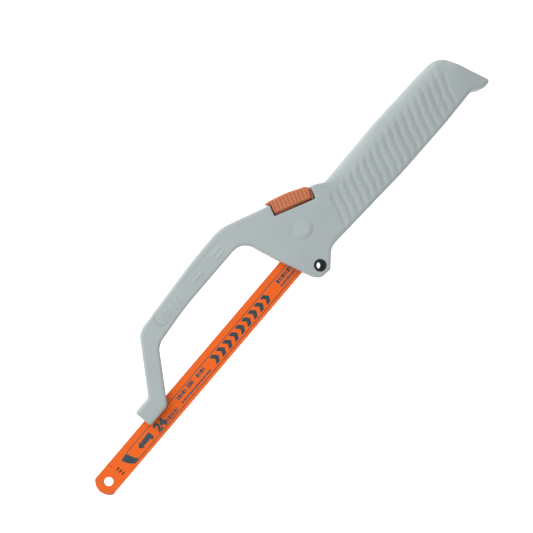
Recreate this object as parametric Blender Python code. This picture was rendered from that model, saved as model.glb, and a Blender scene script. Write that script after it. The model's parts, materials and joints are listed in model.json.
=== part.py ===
"""Compact hacksaw with a bow-shaped front arm, a push-button blade lock and a 250 mm blade.

The saw lies on its right side. +X runs along the blade from the tip to the heel of the grip, +Y points
from the teeth to the back of the blade, and +Z rises out of the left side. Sizes are in millimetres and
are laid out from a point on the blade's centre line under the front of the bow. The finished model is in
metres, with its origin on the right side's flat face in the middle of the grip (ORIGIN).
"""

import math

import bmesh
import bpy
from mathutils import Matrix, Vector

MM = 0.001
ORIGIN = (150.0, 2.0)

# Overall sizes
HALF_BODY = 10.0            # half thickness of the body and grip
HALF_ARM = 6.6              # half thickness of the bow arm and the foot
ARM_THICK_START = 52.0      # the shells widen from the arm to the body between these two places
ARM_THICK_END = 96.0
BOW_HEIGHT = 42.5           # top of the bow arm above the blade's centre line
BOW_DEPTH = 13.1            # from the bow's top down to its underside
BOW_REAR = 73.5             # where the bow's top turns down towards the grip
FOOT_X = -30.0              # front face of the foot
GRIP_START = 124.0          # where the back slope meets the grip
GRIP_END = 227.6            # tip of the heel
GRIP_TOP = 16.3
GRIP_BOTTOM = -12.2
SHELL_ROUND = 3.0           # rounding of the shells' outer edges
PART_LINE = 0.3             # gap between the two shells
WALL = 2.7                  # thickness of the shells' outer walls where they are cored out
RIB = 2.0                   # thickness of the ribs left between the grip's cored bays
GRIP_BAYS = 5
ARM_BAYS = ((13.0, 37.0), (51.0, 74.0))
ARM_BAY_WIDTH = 6.4

# Clearances
GAP = 0.3                   # between pieces that touch on the real saw
SLOT_SIDE = 0.35            # between a blade's face and its slot
RUNNING = 0.05              # radial, between a pin and what turns on it

# Blade
BLADE_LENGTH = 264.0
BLADE_WIDTH = 13.0
BLADE_THICK = 0.65
BLADE_HOLES_APART = 250.0
BLADE_HOLE_R = 2.4
BLADE_END_R = 7.8
TEETH_PER_INCH = 24
TOOTH_DEPTH = 0.7
BLADE_PLAIN_END = 1.0       # straight edge between an end's curve and the first tooth
BLADE_SPARE = 24.0          # room behind the blade in its channel

# Blade channel
CHANNEL_START = 98.0
CHANNEL_WALL = 0.8
CHANNEL_OPEN = 1.7          # how far its open edge stays below the blade's back
CHANNEL_TO_HEEL = 13.6      # from the channel's rear end to the heel

# Lock button
BUTTON_SIDE_GAP = 0.7       # how far the button's sides stay inside the body's
BUTTON_X = 98.0             # lower front corner
BUTTON_SINK = 5.84          # of that corner below the body's back slope
BUTTON_TILT = -1.6          # degrees, against the body's back slope
BUTTON_LENGTH = 21.4
BUTTON_THICK = 8.3          # at the middle of its crown
BUTTON_LIP = 2.3            # overhang of the front lip
BUTTON_EDGE = 0.8           # rounding along the button's sides
NOTCH_FRONT_GAP = 0.65
NOTCH_REAR_GAP = 2.0
NOTCH_FLOOR_GAP = 1.15
NOTCH_OVERCUT = 0.6         # how far the lock's hollow reaches up into the notch
BUTTON_PIN = (5.0, -3.4)    # along and above the button's underside
BUTTON_PIN_R = 1.2
LUG_R = 2.4
STEM_AT = 13.6              # along the button
STEM_WIDTH = 3.0

# Cam lever and its spring
LEVER_PIN_X = 102.0
LEVER_PIN_RISE = 3.8        # above the blade's back
LEVER_PIN_R = 1.5
HUB_R = 3.1
NOSE_REACH = 3.6            # from the pin forwards
NOSE_R = 1.1
TAIL_REACH = 12.6
TAIL_RISE = 3.4
TAIL_THICK = 2.4
PIN_BITE = 3.5              # length of each cross pin inside a shell
PIN_EDGE = 0.2
LINKAGE_HALF = 2.2          # half width of the lever, lug and stem
LINKAGE_ROOM = 0.5          # beside them in the shells' hollow
SPRING_REACH = 10.4         # from the lever's pin back to the spring
SPRING_R = 1.5              # to the wire's centre
SPRING_WIRE_R = 0.3
SPRING_TURNS = 4
LEDGE = 1.3                 # thickness of the ledge that keeps the spring off the blade

# Screws
SCREW_R = 1.1
SCREW_HEAD_R = 2.0
SCREW_HEAD_DEPTH = 1.6
SCREW_RECESS = 0.9          # depth of the cross in a head
SCREW_GRIP = 5.6            # from a head's face to the shells' joint
SCREW_BITE = 4.2            # length inside the left shell

# Guides and eyelet
GUIDE_FRONT = -28.4         # steel guide in the foot
GUIDE_REAR = -17.6
GUIDE_DEPTH = 3.0           # how far its legs reach down beside the blade
MOUTH_PIN_X = 88.5
MOUTH_PIN_R = 1.5
EYELET_X = 93.0
EYELET_DROP = 4.0           # below the blade's teeth
EYELET_BORE_R = 2.2
EYELET_TUBE_R = 2.6
EYELET_FLANGE_R = 3.2
EYELET_FLANGE = 0.5
EYELET_SINK = 0.3           # how far the flanges sit below the faces

# Sizes that follow from the driving ones
MID_Z = HALF_BODY           # height of the plane where the shells meet
BACK_Y = BLADE_WIDTH / 2
GRIP_LENGTH = GRIP_END - GRIP_START
CHANNEL_END = GRIP_END - CHANNEL_TO_HEEL
BLADE_TIP = CHANNEL_END - BLADE_SPARE - BLADE_LENGTH
SLOT_HALF = BLADE_THICK / 2 + SLOT_SIDE
CHANNEL_HALF = SLOT_HALF + CHANNEL_WALL
CHANNEL_LOW = -BACK_Y - GAP - CHANNEL_WALL
CHANNEL_TOP = BACK_Y - CHANNEL_OPEN
LEVER_PIN = (LEVER_PIN_X, BACK_Y + LEVER_PIN_RISE)
CAVITY_HALF = LINKAGE_HALF + LINKAGE_ROOM
PIN_HALF = CAVITY_HALF + PIN_BITE
SPRING_X = LEVER_PIN_X + SPRING_REACH
LEDGE_TOP = BACK_Y + GAP + LEDGE
TAIL_TOP = LEVER_PIN[1] + TAIL_RISE + TAIL_THICK / 2
NOSE_Y = BACK_Y + GAP + NOSE_R
MOUTH_PIN = (MOUTH_PIN_X, BACK_Y + GAP + MOUTH_PIN_R)
EYELET = (EYELET_X, -BACK_Y - EYELET_DROP)
SCREW_HEAD_Z = MID_Z - SCREW_GRIP
SLOPE_TOP = (BOW_REAR, BOW_HEIGHT + 0.2)
SLOPE_FOOT = (GRIP_START, GRIP_TOP + 3.4)
SLOPE = math.atan2(SLOPE_FOOT[1] - SLOPE_TOP[1], SLOPE_FOOT[0] - SLOPE_TOP[0])
BUTTON_SLOPE = SLOPE + math.radians(BUTTON_TILT)
BUTTON_Y = SLOPE_TOP[1] + (BUTTON_X - BOW_REAR) * math.tan(SLOPE) - BUTTON_SINK
BUTTON_HALF = HALF_BODY - BUTTON_SIDE_GAP
SCREW_PLACES = (
    (FOOT_X + 6.0, BACK_Y + 3.5),
    (6.0, BOW_HEIGHT - 9.3),
    (44.0, BOW_HEIGHT - 6.5),
    (BOW_REAR + 8.5, BOW_HEIGHT - 8.5),
    (MOUTH_PIN_X, BACK_Y + 9.3),
    (GRIP_START - 2.0, BACK_Y + 5.1),
    (GRIP_START + 0.33 * GRIP_LENGTH, BACK_Y + 4.9),
    (GRIP_START + 0.69 * GRIP_LENGTH, BACK_Y + 4.5),
    (GRIP_END - 9.3, -2.0),
)
ARC_STEP = math.radians(15)

COLOURS = {
    "shell": ((0.42, 0.48, 0.48), 0.55, 0.0),
    "blade": ((0.85, 0.15, 0.03), 0.35, 0.1),
    "button": ((0.55, 0.18, 0.08), 0.5, 0.0),
    "steel": ((0.45, 0.46, 0.47), 0.3, 1.0),
    "zinc": ((0.62, 0.62, 0.6), 0.35, 1.0),
}


def clear_scene():
    for thing in list(bpy.data.objects):
        bpy.data.objects.remove(thing, do_unlink=True)


def material(kind):
    found = bpy.data.materials.get(kind)
    if found:
        return found
    colour, roughness, metallic = COLOURS[kind]
    made = bpy.data.materials.new(kind)
    made.use_nodes = True
    shader = made.node_tree.nodes["Principled BSDF"]
    shader.inputs["Base Color"].default_value = (*colour, 1.0)
    shader.inputs["Roughness"].default_value = roughness
    shader.inputs["Metallic"].default_value = metallic
    return made


def add_object(name, mesh_builder, kind=None, pivot=ORIGIN):
    """Turn a bmesh in millimetres into a named object in metres, with its origin at a pivot (x, y)."""
    mesh = bpy.data.meshes.new(name)
    height = 0.0 if pivot == ORIGIN else MID_Z
    bmesh.ops.translate(mesh_builder, vec=(-pivot[0], -pivot[1], -height), verts=mesh_builder.verts)
    bmesh.ops.scale(mesh_builder, vec=(MM, MM, MM), verts=mesh_builder.verts)
    bmesh.ops.recalc_face_normals(mesh_builder, faces=mesh_builder.faces)
    mesh_builder.to_mesh(mesh)
    mesh_builder.free()
    thing = bpy.data.objects.new(name, mesh)
    thing.location = ((pivot[0] - ORIGIN[0]) * MM, (pivot[1] - ORIGIN[1]) * MM, height * MM)
    bpy.context.scene.collection.objects.link(thing)
    if kind:
        mesh.materials.append(material(kind))
        mesh.shade_smooth()
        mesh.set_sharp_from_angle(angle=math.radians(35))
    return thing


def rounded(corners, inset=0.0):
    """Points of a closed outline whose corners (x, y, radius) are rounded by tangent arcs.

    Corners run anticlockwise. The inset moves each side inwards and keeps the number of points,
    so the rings of one outline at different insets can be joined point to point.
    """
    count = len(corners)
    spots = [Vector(corner[:2]) for corner in corners]
    sides = []
    for index in range(count):
        along = (spots[(index + 1) % count] - spots[index]).normalized()
        inward = Vector((-along.y, along.x))
        sides.append((spots[index] + inward * inset, along))
    points = []
    for index in range(count):
        start, before = sides[index - 1]
        place, after = sides[index]
        cross = before.x * after.y - before.y * after.x
        reach = ((place.x - start.x) * after.y - (place.y - start.y) * after.x) / cross
        corner = start + before * reach
        turn = math.atan2(cross, before.dot(after))
        radius = corners[index][2] - math.copysign(inset, turn)
        radius = max(radius, 0.05)
        back = radius * math.tan(abs(turn) / 2)
        centre = corner - before * back + Vector((-before.y, before.x)) * math.copysign(radius, turn)
        steps = max(1, math.ceil(abs(turn) / ARC_STEP)) if corners[index][2] > 0.3 else 1
        first = corner - before * back - centre
        for step in range(steps + 1):
            points.append(centre + Matrix.Rotation(turn * step / steps, 2) @ first)
    return points


def loft(rings):
    """A closed solid through rings of equally many 3-D points, capped at both ends."""
    work = bmesh.new()
    made = [[work.verts.new(point) for point in ring] for ring in rings]
    count = len(made[0])
    for lower, upper in zip(made, made[1:]):
        for index in range(count):
            follower = (index + 1) % count
            work.faces.new((lower[index], lower[follower], upper[follower], upper[index]))
    work.faces.new(list(reversed(made[0])))
    work.faces.new(made[-1])
    return work


def slab(points, low, high):
    """An outline extruded from one height to another."""
    return loft([[(x, y, low) for x, y in points], [(x, y, high) for x, y in points]])


def turned(centre, profile, sides=16):
    """A solid of revolution about Z through (x, y), from (radius, z) pairs."""
    turns = [math.tau * index / sides for index in range(sides)]
    rings = []
    for radius, height in profile:
        rings.append([(centre[0] + radius * math.cos(turn), centre[1] + radius * math.sin(turn), height)
                      for turn in turns])
    return loft(rings)


def boolean(target, cutters, operation="DIFFERENCE"):
    """Apply Booleans with cutters that are then removed."""
    for cutter in cutters:
        cutter.hide_render = True
        cutter.display_type = "WIRE"
        modifier = target.modifiers.new("cut", "BOOLEAN")
        modifier.operation = operation
        modifier.solver = "EXACT"
        modifier.object = cutter
    graph = bpy.context.evaluated_depsgraph_get()
    cut = bpy.data.meshes.new_from_object(target.evaluated_get(graph))
    target.modifiers.clear()
    old = target.data
    target.data = cut
    bpy.data.meshes.remove(old)
    for cutter in cutters:
        bpy.data.objects.remove(cutter, do_unlink=True)


def cutter(work):
    return add_object("cutter", work)


# ---------------------------------------------------------------- frame outline


def frame_outline():
    """Outline of both shells, anticlockwise from the foot's lower front corner."""
    foot_low = BACK_Y - 3.8
    foot_top = BACK_Y + 6.6
    bow_under = BOW_HEIGHT - BOW_DEPTH
    teeth = -BACK_Y
    heel = GRIP_BOTTOM - 3.7
    return [
        (FOOT_X, foot_low, 1.5),
        (FOOT_X + 13.8, foot_low, 3.5),
        (4.0, bow_under - 3.9, 5.0),
        (7.6, bow_under - 2.1, 5.0),
        (30.0, bow_under, 150.0),
        (76.6, bow_under, 9.5),
        (78.0, 20.0, 12.0),
        (81.0, BACK_Y - 0.1, 60.0),
        (86.0, teeth - 4.5, 20.0),
        (87.6, teeth - 8.7, 4.5),
        (94.9, teeth - 9.6, 1.2),
        (104.3, teeth - 2.1, 8.0),
        (GRIP_START + 1.0, teeth - 3.3, 60.0),
        (GRIP_START + 0.35 * GRIP_LENGTH, GRIP_BOTTOM + 0.3, 200.0),
        (GRIP_START + 0.69 * GRIP_LENGTH, GRIP_BOTTOM - 0.2, 200.0),
        (GRIP_END - 10.6, GRIP_BOTTOM + 0.4, 5.0),
        (GRIP_END - 5.4, heel, 3.0),
        (GRIP_END + 0.3, heel, 1.6),
        (GRIP_END - 5.0, GRIP_TOP - 12.0, 40.0),
        (GRIP_END - 7.3, GRIP_TOP - 2.3, 10.0),
        (GRIP_START + 0.78 * GRIP_LENGTH, GRIP_TOP - 1.3, 40.0),
        (GRIP_START + 0.44 * GRIP_LENGTH, GRIP_TOP, 300.0),
        (GRIP_START + 5.0, GRIP_TOP - 0.4, 6.0),
        (*SLOPE_FOOT, 5.0),
        (*SLOPE_TOP, 26.0),
        (50.0, BOW_HEIGHT, 300.0),
        (3.6, BOW_HEIGHT - 3.2, 10.0),
        (FOOT_X + 10.4, foot_top, 2.0),
        (FOOT_X, foot_top, 0.8),
    ]


def half_at(x):
    """Half thickness of the frame at a place along the saw."""
    share = (x - ARM_THICK_START) / (ARM_THICK_END - ARM_THICK_START)
    return HALF_ARM + (HALF_BODY - HALF_ARM) * min(1.0, max(0.0, share))


def shell_blank(side):
    """One shell without its hollows: the rounded outline, thinner along the arm."""
    corners = frame_outline()
    rings = []
    steps = 3
    near = PART_LINE / 2
    rings.append([(x, y, near) for x, y in rounded(corners)])
    for step in range(steps + 1):
        turn = math.pi / 2 * step / steps
        inset = SHELL_ROUND * (1 - math.cos(turn))
        height = HALF_BODY - SHELL_ROUND * (1 - math.sin(turn))
        rings.append([(x, y, height) for x, y in rounded(corners, inset)])
    work = loft(rings)
    for place in (ARM_THICK_START, ARM_THICK_END):
        everything = work.verts[:] + work.edges[:] + work.faces[:]
        bmesh.ops.bisect_plane(work, geom=everything, plane_co=(place, 0, 0), plane_no=(1, 0, 0), dist=1e-5)
    for vertex in work.verts:
        if vertex.co.z > near + 0.01:
            drop = HALF_BODY - half_at(vertex.co.x)
            vertex.co.z -= drop
        vertex.co.z = MID_Z + side * vertex.co.z
    bmesh.ops.triangulate(work, faces=work.faces)
    return work


def across(points, half):
    """A cutter from an outline, reaching the same distance either side of the shells' joint."""
    return cutter(slab(points, MID_Z - half, MID_Z + half))


def on_button(along, above):
    """Place in the saw's frame of a point given along and above the button's underside."""
    x = BUTTON_X + along * math.cos(BUTTON_SLOPE) - above * math.sin(BUTTON_SLOPE)
    y = BUTTON_Y + along * math.sin(BUTTON_SLOPE) + above * math.cos(BUTTON_SLOPE)
    return x, y


def above_notch_floor(x):
    """Height just over the notch's floor at a place along the saw."""
    above = NOTCH_OVERCUT - NOTCH_FLOOR_GAP
    along = (x - BUTTON_X + above * math.sin(BUTTON_SLOPE)) / math.cos(BUTTON_SLOPE)
    return on_button(along, above)[1]


def rectangle(left, low, right, high):
    return [(left, low), (right, low), (right, high), (left, high)]


# ---------------------------------------------------------------- blade


def blade():
    """Flat blade with round ends, a hole near each end and raked teeth along its lower edge."""
    rear = BLADE_TIP + BLADE_LENGTH
    pitch = 25.4 / TEETH_PER_INCH
    corner = BLADE_END_R - math.sqrt(BLADE_END_R ** 2 - BACK_Y ** 2)
    low = -BACK_Y
    first = BLADE_TIP + corner + BLADE_PLAIN_END
    count = int((BLADE_LENGTH - 2 * corner - 2 * BLADE_PLAIN_END) / pitch)
    points = []
    for tooth in range(count):
        start = first + tooth * pitch
        points.append((start, low))
        points.append((start + pitch * 0.25, low + TOOTH_DEPTH))
    points.append((first + count * pitch, low))
    reach = math.asin(BACK_Y / BLADE_END_R)
    for centre, middle in ((rear - BLADE_END_R, 0.0), (BLADE_TIP + BLADE_END_R, math.pi)):
        for step in range(9):
            turn = middle - reach + 2 * reach * step / 8
            points.append((centre + BLADE_END_R * math.cos(turn), BLADE_END_R * math.sin(turn)))
    work = slab(points, MID_Z - BLADE_THICK / 2, MID_Z + BLADE_THICK / 2)
    made = add_object("blade", work, "blade", (BLADE_TIP, 0.0))
    front_hole = BLADE_TIP + (BLADE_LENGTH - BLADE_HOLES_APART) / 2
    holes = []
    for place in (front_hole, front_hole + BLADE_HOLES_APART):
        ends = (MID_Z - 1.0, MID_Z + 1.0)
        holes.append(cutter(turned((place, 0.0), [(BLADE_HOLE_R, ends[0]), (BLADE_HOLE_R, ends[1])])))
    boolean(made, holes)


# ---------------------------------------------------------------- steel guides


def channel():
    """Folded steel channel behind the lock: its floor carries the teeth, its walls guide the blade."""
    made = add_object("blade_channel", slab(
        rectangle(CHANNEL_START, CHANNEL_LOW, CHANNEL_END, CHANNEL_TOP),
        MID_Z - CHANNEL_HALF, MID_Z + CHANNEL_HALF), "zinc")
    inside = rectangle(CHANNEL_START - 1, CHANNEL_LOW + CHANNEL_WALL, CHANNEL_END + 1, BACK_Y + 5)
    boolean(made, [across(inside, SLOT_HALF)])


def foot_guide():
    """Steel staple over the blade's back inside the foot."""
    low = BACK_Y - GUIDE_DEPTH
    high = BACK_Y + GAP + CHANNEL_WALL
    made = add_object("foot_guide", slab(
        rectangle(GUIDE_FRONT, low, GUIDE_REAR, high), MID_Z - CHANNEL_HALF, MID_Z + CHANNEL_HALF), "zinc")
    inside = rectangle(GUIDE_FRONT - 1, low - 1, GUIDE_REAR + 1, BACK_Y + GAP)
    boolean(made, [across(inside, SLOT_HALF)])


def cross_pin(name, centre, radius, half):
    """Plain dowel across the saw with broken edges."""
    add_object(name, turned(centre, [
        (radius - PIN_EDGE, MID_Z - half), (radius, MID_Z - half + PIN_EDGE),
        (radius, MID_Z + half - PIN_EDGE), (radius - PIN_EDGE, MID_Z + half)]), "steel")


# ---------------------------------------------------------------- lock


def button_outline(inset=0.0):
    """Side view of the button: a crowned cap with a lip over the notch's front edge."""
    lip = -BUTTON_LIP
    rear = BUTTON_LENGTH
    return rounded([
        (0.0, 0.0, 0.6),
        (rear, 0.0, 1.0),
        (rear + 0.9, BUTTON_THICK - 2.9, 1.4),
        (rear - 1.2, BUTTON_THICK - 1.4, 1.4),
        (rear * 0.45, BUTTON_THICK + 0.1, 40.0),
        (-1.0, BUTTON_THICK - 1.0, 1.0),
        (lip, BUTTON_THICK - 2.3, 0.6),
        (-0.1, BUTTON_THICK - 2.9, 0.9)], inset)


def lock_button():
    """Thumb button: the cap, a hinge lug round its pin and a stem that pushes the lever's tail."""
    straight = BUTTON_HALF - BUTTON_EDGE
    levels = ((-BUTTON_HALF, BUTTON_EDGE), (-straight, 0.0), (straight, 0.0), (BUTTON_HALF, BUTTON_EDGE))
    rings = []
    for height, inset in levels:
        rings.append([(*on_button(u, v), MID_Z + height) for u, v in button_outline(inset)])
    made = add_object("lock_button", loft(rings), "button", on_button(*BUTTON_PIN))
    lug_x, lug_y = BUTTON_PIN
    half_turn = [math.pi + math.pi * step / 10 for step in range(11)]
    lug = [on_button(lug_x + LUG_R * math.cos(turn), lug_y + LUG_R * math.sin(turn)) for turn in half_turn]
    lug += [on_button(BUTTON_PIN[0] + LUG_R, 1.0), on_button(BUTTON_PIN[0] - LUG_R, 1.0)]
    stem_x = on_button(STEM_AT, 0.0)[0]
    stem_low = TAIL_TOP + GAP
    stem = rectangle(stem_x - STEM_WIDTH / 2, stem_low, stem_x + STEM_WIDTH / 2, on_button(STEM_AT, 2.0)[1])
    boolean(made, [across(lug, LINKAGE_HALF), across(stem, LINKAGE_HALF)], "UNION")
    bore = turned(on_button(*BUTTON_PIN), [(BUTTON_PIN_R + RUNNING, 0.0), (BUTTON_PIN_R + RUNNING, 2 * MID_Z)])
    boolean(made, [cutter(bore)])


def cam_lever():
    """Steel lever: a nose in front bites the blade's back, a tail behind is pressed by the button."""
    pin_x, pin_y = LEVER_PIN
    made = add_object("cam_lever", turned(LEVER_PIN, [
        (HUB_R, MID_Z - LINKAGE_HALF), (HUB_R, MID_Z + LINKAGE_HALF)], 24), "steel", LEVER_PIN)
    middle = pin_y + TAIL_RISE
    half = TAIL_THICK / 2
    tail = rounded([
        (pin_x - 1.0, pin_y - 1.2, 0.1),
        (pin_x + HUB_R, pin_y - 1.2, 0.8),
        (pin_x + 6.0, middle - half, 2.0),
        (pin_x + TAIL_REACH, middle - half, 1.0),
        (pin_x + TAIL_REACH, middle + half, 1.0),
        (pin_x + 5.0, middle + half, 2.0),
        (pin_x - 1.0, pin_y + HUB_R - 0.7, 0.1)])
    nose_x = pin_x - NOSE_REACH
    nose = rounded([
        (nose_x - NOSE_R, NOSE_Y - NOSE_R, 1.0),
        (nose_x + NOSE_R, NOSE_Y - NOSE_R, 0.6),
        (pin_x + 0.5, pin_y - 1.6, 0.1),
        (pin_x - 1.0, pin_y + 2.2, 0.1)])
    boolean(made, [across(tail, LINKAGE_HALF - 0.01), across(nose, LINKAGE_HALF - 0.02)], "UNION")
    bore = turned(LEVER_PIN, [(LEVER_PIN_R + RUNNING, 0.0), (LEVER_PIN_R + RUNNING, 2 * MID_Z)])
    boolean(made, [cutter(bore)])


def lock_spring():
    """Compression spring standing on the ledge under the lever's tail."""
    low = LEDGE_TOP + GAP + SPRING_WIRE_R
    high = LEVER_PIN[1] + TAIL_RISE - TAIL_THICK / 2 - GAP - SPRING_WIRE_R
    per_turn = 12
    count = SPRING_TURNS * per_turn
    sides = 6
    rise = (high - low) / (math.tau * SPRING_TURNS)
    rings = []
    for step in range(count + 1):
        turn = math.tau * step / per_turn
        height = low + (high - low) * step / count
        outward = Vector((math.cos(turn), 0.0, math.sin(turn)))
        centre = Vector((SPRING_X, height, MID_Z)) + outward * SPRING_R
        along = Vector((-math.sin(turn) * SPRING_R, rise, math.cos(turn) * SPRING_R)).normalized()
        across_wire = along.cross(outward)
        ring = []
        for side in range(sides):
            angle = math.tau * side / sides
            offset = outward * math.cos(angle) + across_wire * math.sin(angle)
            ring.append(centre + offset * SPRING_WIRE_R)
        rings.append(ring)
    add_object("lock_spring", loft(rings), "steel")


# ---------------------------------------------------------------- fasteners and eyelet


def screw(number, place):
    """Shell screw, driven from the right side, with a cross recess in its head."""
    neck = SCREW_HEAD_Z + SCREW_HEAD_DEPTH
    end = MID_Z + SCREW_BITE
    name = f"shell_screw_{number}"
    made = add_object(name, turned(place, [
        (SCREW_HEAD_R - 0.3, SCREW_HEAD_Z), (SCREW_HEAD_R, SCREW_HEAD_Z + 0.3), (SCREW_HEAD_R, neck),
        (SCREW_R, neck + 0.01), (SCREW_R, end - 1.0), (SCREW_R * 0.4, end)], 12), "steel")
    reach = SCREW_HEAD_R * 0.6
    slots = []
    for long_x, long_y in ((reach, 0.25), (0.25, reach)):
        arm = rectangle(place[0] - long_x, place[1] - long_y, place[0] + long_x, place[1] + long_y)
        slots.append(cutter(slab(arm, SCREW_HEAD_Z - 1.0, SCREW_HEAD_Z + SCREW_RECESS)))
    boolean(made, slots)


def eyelet():
    """Plated tube rivet that lines the hanging hole, with a flange in each shell."""
    low = EYELET_SINK
    high = 2 * MID_Z - EYELET_SINK
    made = add_object("hanging_eyelet", turned(EYELET, [
        (EYELET_FLANGE_R, low), (EYELET_FLANGE_R, low + EYELET_FLANGE), (EYELET_TUBE_R, low + EYELET_FLANGE + 0.2),
        (EYELET_TUBE_R, high - EYELET_FLANGE - 0.2), (EYELET_FLANGE_R, high - EYELET_FLANGE),
        (EYELET_FLANGE_R, high)], 24), "steel")
    boolean(made, [cutter(turned(EYELET, [(EYELET_BORE_R, -1.0), (EYELET_BORE_R, 2 * MID_Z + 1.0)], 24))])


# ---------------------------------------------------------------- shells


def hollows():
    """Cutters for everything that sits between the shells."""
    slot = CHANNEL_END + GAP
    front = LEVER_PIN_X - NOSE_REACH - NOSE_R - 4 * GAP
    back = LEVER_PIN_X + TAIL_REACH + 3 * GAP
    lug_front = on_button(*BUTTON_PIN)[0] - LUG_R - 2 * GAP
    cuts = [
        across(rectangle(MOUTH_PIN_X - 20.0, -BACK_Y - GAP, slot, BACK_Y + GAP), SLOT_HALF),
        across(rectangle(CHANNEL_START - GAP, CHANNEL_LOW - GAP, slot, CHANNEL_TOP + GAP),
               CHANNEL_HALF + GAP),
        across(rectangle(GUIDE_FRONT - GAP, -BACK_Y, GUIDE_REAR + GAP, BACK_Y + 2 * GAP + CHANNEL_WALL),
               CHANNEL_HALF + GAP),
        across(rectangle(FOOT_X - 1.0, -BACK_Y, 0.0, BACK_Y + GAP), SLOT_HALF),
        across([(front, BACK_Y), (LEVER_PIN_X, BACK_Y), (LEVER_PIN_X + HUB_R, LEDGE_TOP), (back, LEDGE_TOP),
                (back, above_notch_floor(back)), (lug_front, above_notch_floor(lug_front))], CAVITY_HALF),
        across([on_button(u, v) for u, v in rectangle(
            -NOTCH_FRONT_GAP, -NOTCH_FLOOR_GAP, BUTTON_LENGTH + NOTCH_REAR_GAP, 20.0)], MID_Z + 1.0),
    ]
    first_bay = GRIP_START + RIB
    bay = (slot - first_bay + RIB) / GRIP_BAYS
    for index in range(GRIP_BAYS):
        start = first_bay + bay * index
        cuts.append(across(rectangle(start, CHANNEL_LOW - GAP, start + bay - RIB, LEDGE_TOP),
                           HALF_BODY - WALL))
    middle = BOW_HEIGHT - BOW_DEPTH / 2 - 0.7
    for start, end in ARM_BAYS:
        cuts.append(across(rectangle(start, middle - ARM_BAY_WIDTH / 2, end, middle + ARM_BAY_WIDTH / 2),
                           HALF_ARM - WALL))
    for centre, radius in ((LEVER_PIN, LEVER_PIN_R), (on_button(*BUTTON_PIN), BUTTON_PIN_R),
                           (MOUTH_PIN, MOUTH_PIN_R)):
        hole = radius + GAP
        cuts.append(cutter(turned(centre, [(hole, MID_Z - PIN_HALF - GAP), (hole, MID_Z + PIN_HALF + GAP)])))
    for place in SCREW_PLACES:
        neck = SCREW_HEAD_Z + SCREW_HEAD_DEPTH + GAP
        head = SCREW_HEAD_R + GAP
        hole = SCREW_R + GAP
        cuts.append(cutter(turned(place, [
            (head, -1.0), (head, neck), (hole, neck + 0.01), (hole, MID_Z + SCREW_BITE + GAP)])))
    flange = EYELET_FLANGE_R + GAP
    tube = EYELET_TUBE_R + GAP
    floor = EYELET_SINK + EYELET_FLANGE + GAP
    cuts.append(cutter(turned(EYELET, [
        (flange, -1.0), (flange, floor), (tube, floor + 0.2), (tube, 2 * MID_Z - floor - 0.2),
        (flange, 2 * MID_Z - floor), (flange, 2 * MID_Z + 1.0)], 24)))
    return cuts


def shells():
    for name, side in (("left_shell", 1), ("right_shell", -1)):
        made = add_object(name, shell_blank(side), "shell")
        for cut in hollows():
            boolean(made, [cut])


clear_scene()
shells()
blade()
channel()
foot_guide()
lock_button()
cam_lever()
lock_spring()
cross_pin("lever_pin", LEVER_PIN, LEVER_PIN_R, PIN_HALF)
cross_pin("button_pin", on_button(*BUTTON_PIN), BUTTON_PIN_R, PIN_HALF)
cross_pin("mouth_pin", MOUTH_PIN, MOUTH_PIN_R, PIN_HALF)
eyelet()
for index, spot in enumerate(SCREW_PLACES, start=1):
    screw(index, spot)
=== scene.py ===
# %% [markdown]
# # A compact hacksaw with a bow-shaped arm
#
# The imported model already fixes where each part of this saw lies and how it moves. This notebook gives
# it its looks: the smooth moulded shells with their grip ribs, the toothed and printed blade, the ribbed
# thumb button, the dark eyelet and the screws. Every new piece is a surface worked out with numpy,
# because a formula with a few named sizes is easier to check and to change than a hand-pushed mesh.

# %% Load the frame
import json
import math

import bmesh
import bpy
import numpy as np
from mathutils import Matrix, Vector
from mathutils.geometry import delaunay_2d_cdt

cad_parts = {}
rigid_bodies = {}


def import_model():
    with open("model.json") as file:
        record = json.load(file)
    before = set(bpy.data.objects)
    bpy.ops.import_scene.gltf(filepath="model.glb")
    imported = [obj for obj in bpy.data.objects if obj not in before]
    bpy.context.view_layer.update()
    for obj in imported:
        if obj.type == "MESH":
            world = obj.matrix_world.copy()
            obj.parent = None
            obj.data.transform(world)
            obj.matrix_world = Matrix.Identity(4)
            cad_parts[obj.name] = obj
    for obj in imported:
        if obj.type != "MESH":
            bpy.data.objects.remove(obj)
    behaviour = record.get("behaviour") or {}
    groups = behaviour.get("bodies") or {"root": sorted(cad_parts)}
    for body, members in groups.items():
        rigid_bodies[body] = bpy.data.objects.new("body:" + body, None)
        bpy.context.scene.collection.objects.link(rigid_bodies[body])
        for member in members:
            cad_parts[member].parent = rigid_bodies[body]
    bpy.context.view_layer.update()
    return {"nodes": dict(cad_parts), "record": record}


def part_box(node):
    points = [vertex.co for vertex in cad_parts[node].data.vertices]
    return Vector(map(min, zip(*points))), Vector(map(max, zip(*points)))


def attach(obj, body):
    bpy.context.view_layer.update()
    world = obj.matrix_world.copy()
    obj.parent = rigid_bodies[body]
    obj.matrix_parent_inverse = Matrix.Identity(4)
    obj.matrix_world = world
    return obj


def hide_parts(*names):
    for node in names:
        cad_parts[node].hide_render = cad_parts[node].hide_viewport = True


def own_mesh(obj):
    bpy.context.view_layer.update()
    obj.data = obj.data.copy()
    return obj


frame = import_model()

# %% [markdown]
# ## Units and layout
#
# The frame is in metres, but a saw like this is drawn in millimetres. All the shapes below are laid out
# in millimetres from one drawing point: on the blade's centre line, 30 mm behind the front of the foot.
# Its place comes from the frame's own boxes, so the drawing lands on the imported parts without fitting.

# %% Places taken from the frame
MM = 0.001
FOOT_X = -30.0


def box_mm(node):
    """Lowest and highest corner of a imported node, in millimetres of the frame."""
    low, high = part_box(node)
    return np.array(low) / MM, np.array(high) / MM


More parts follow.
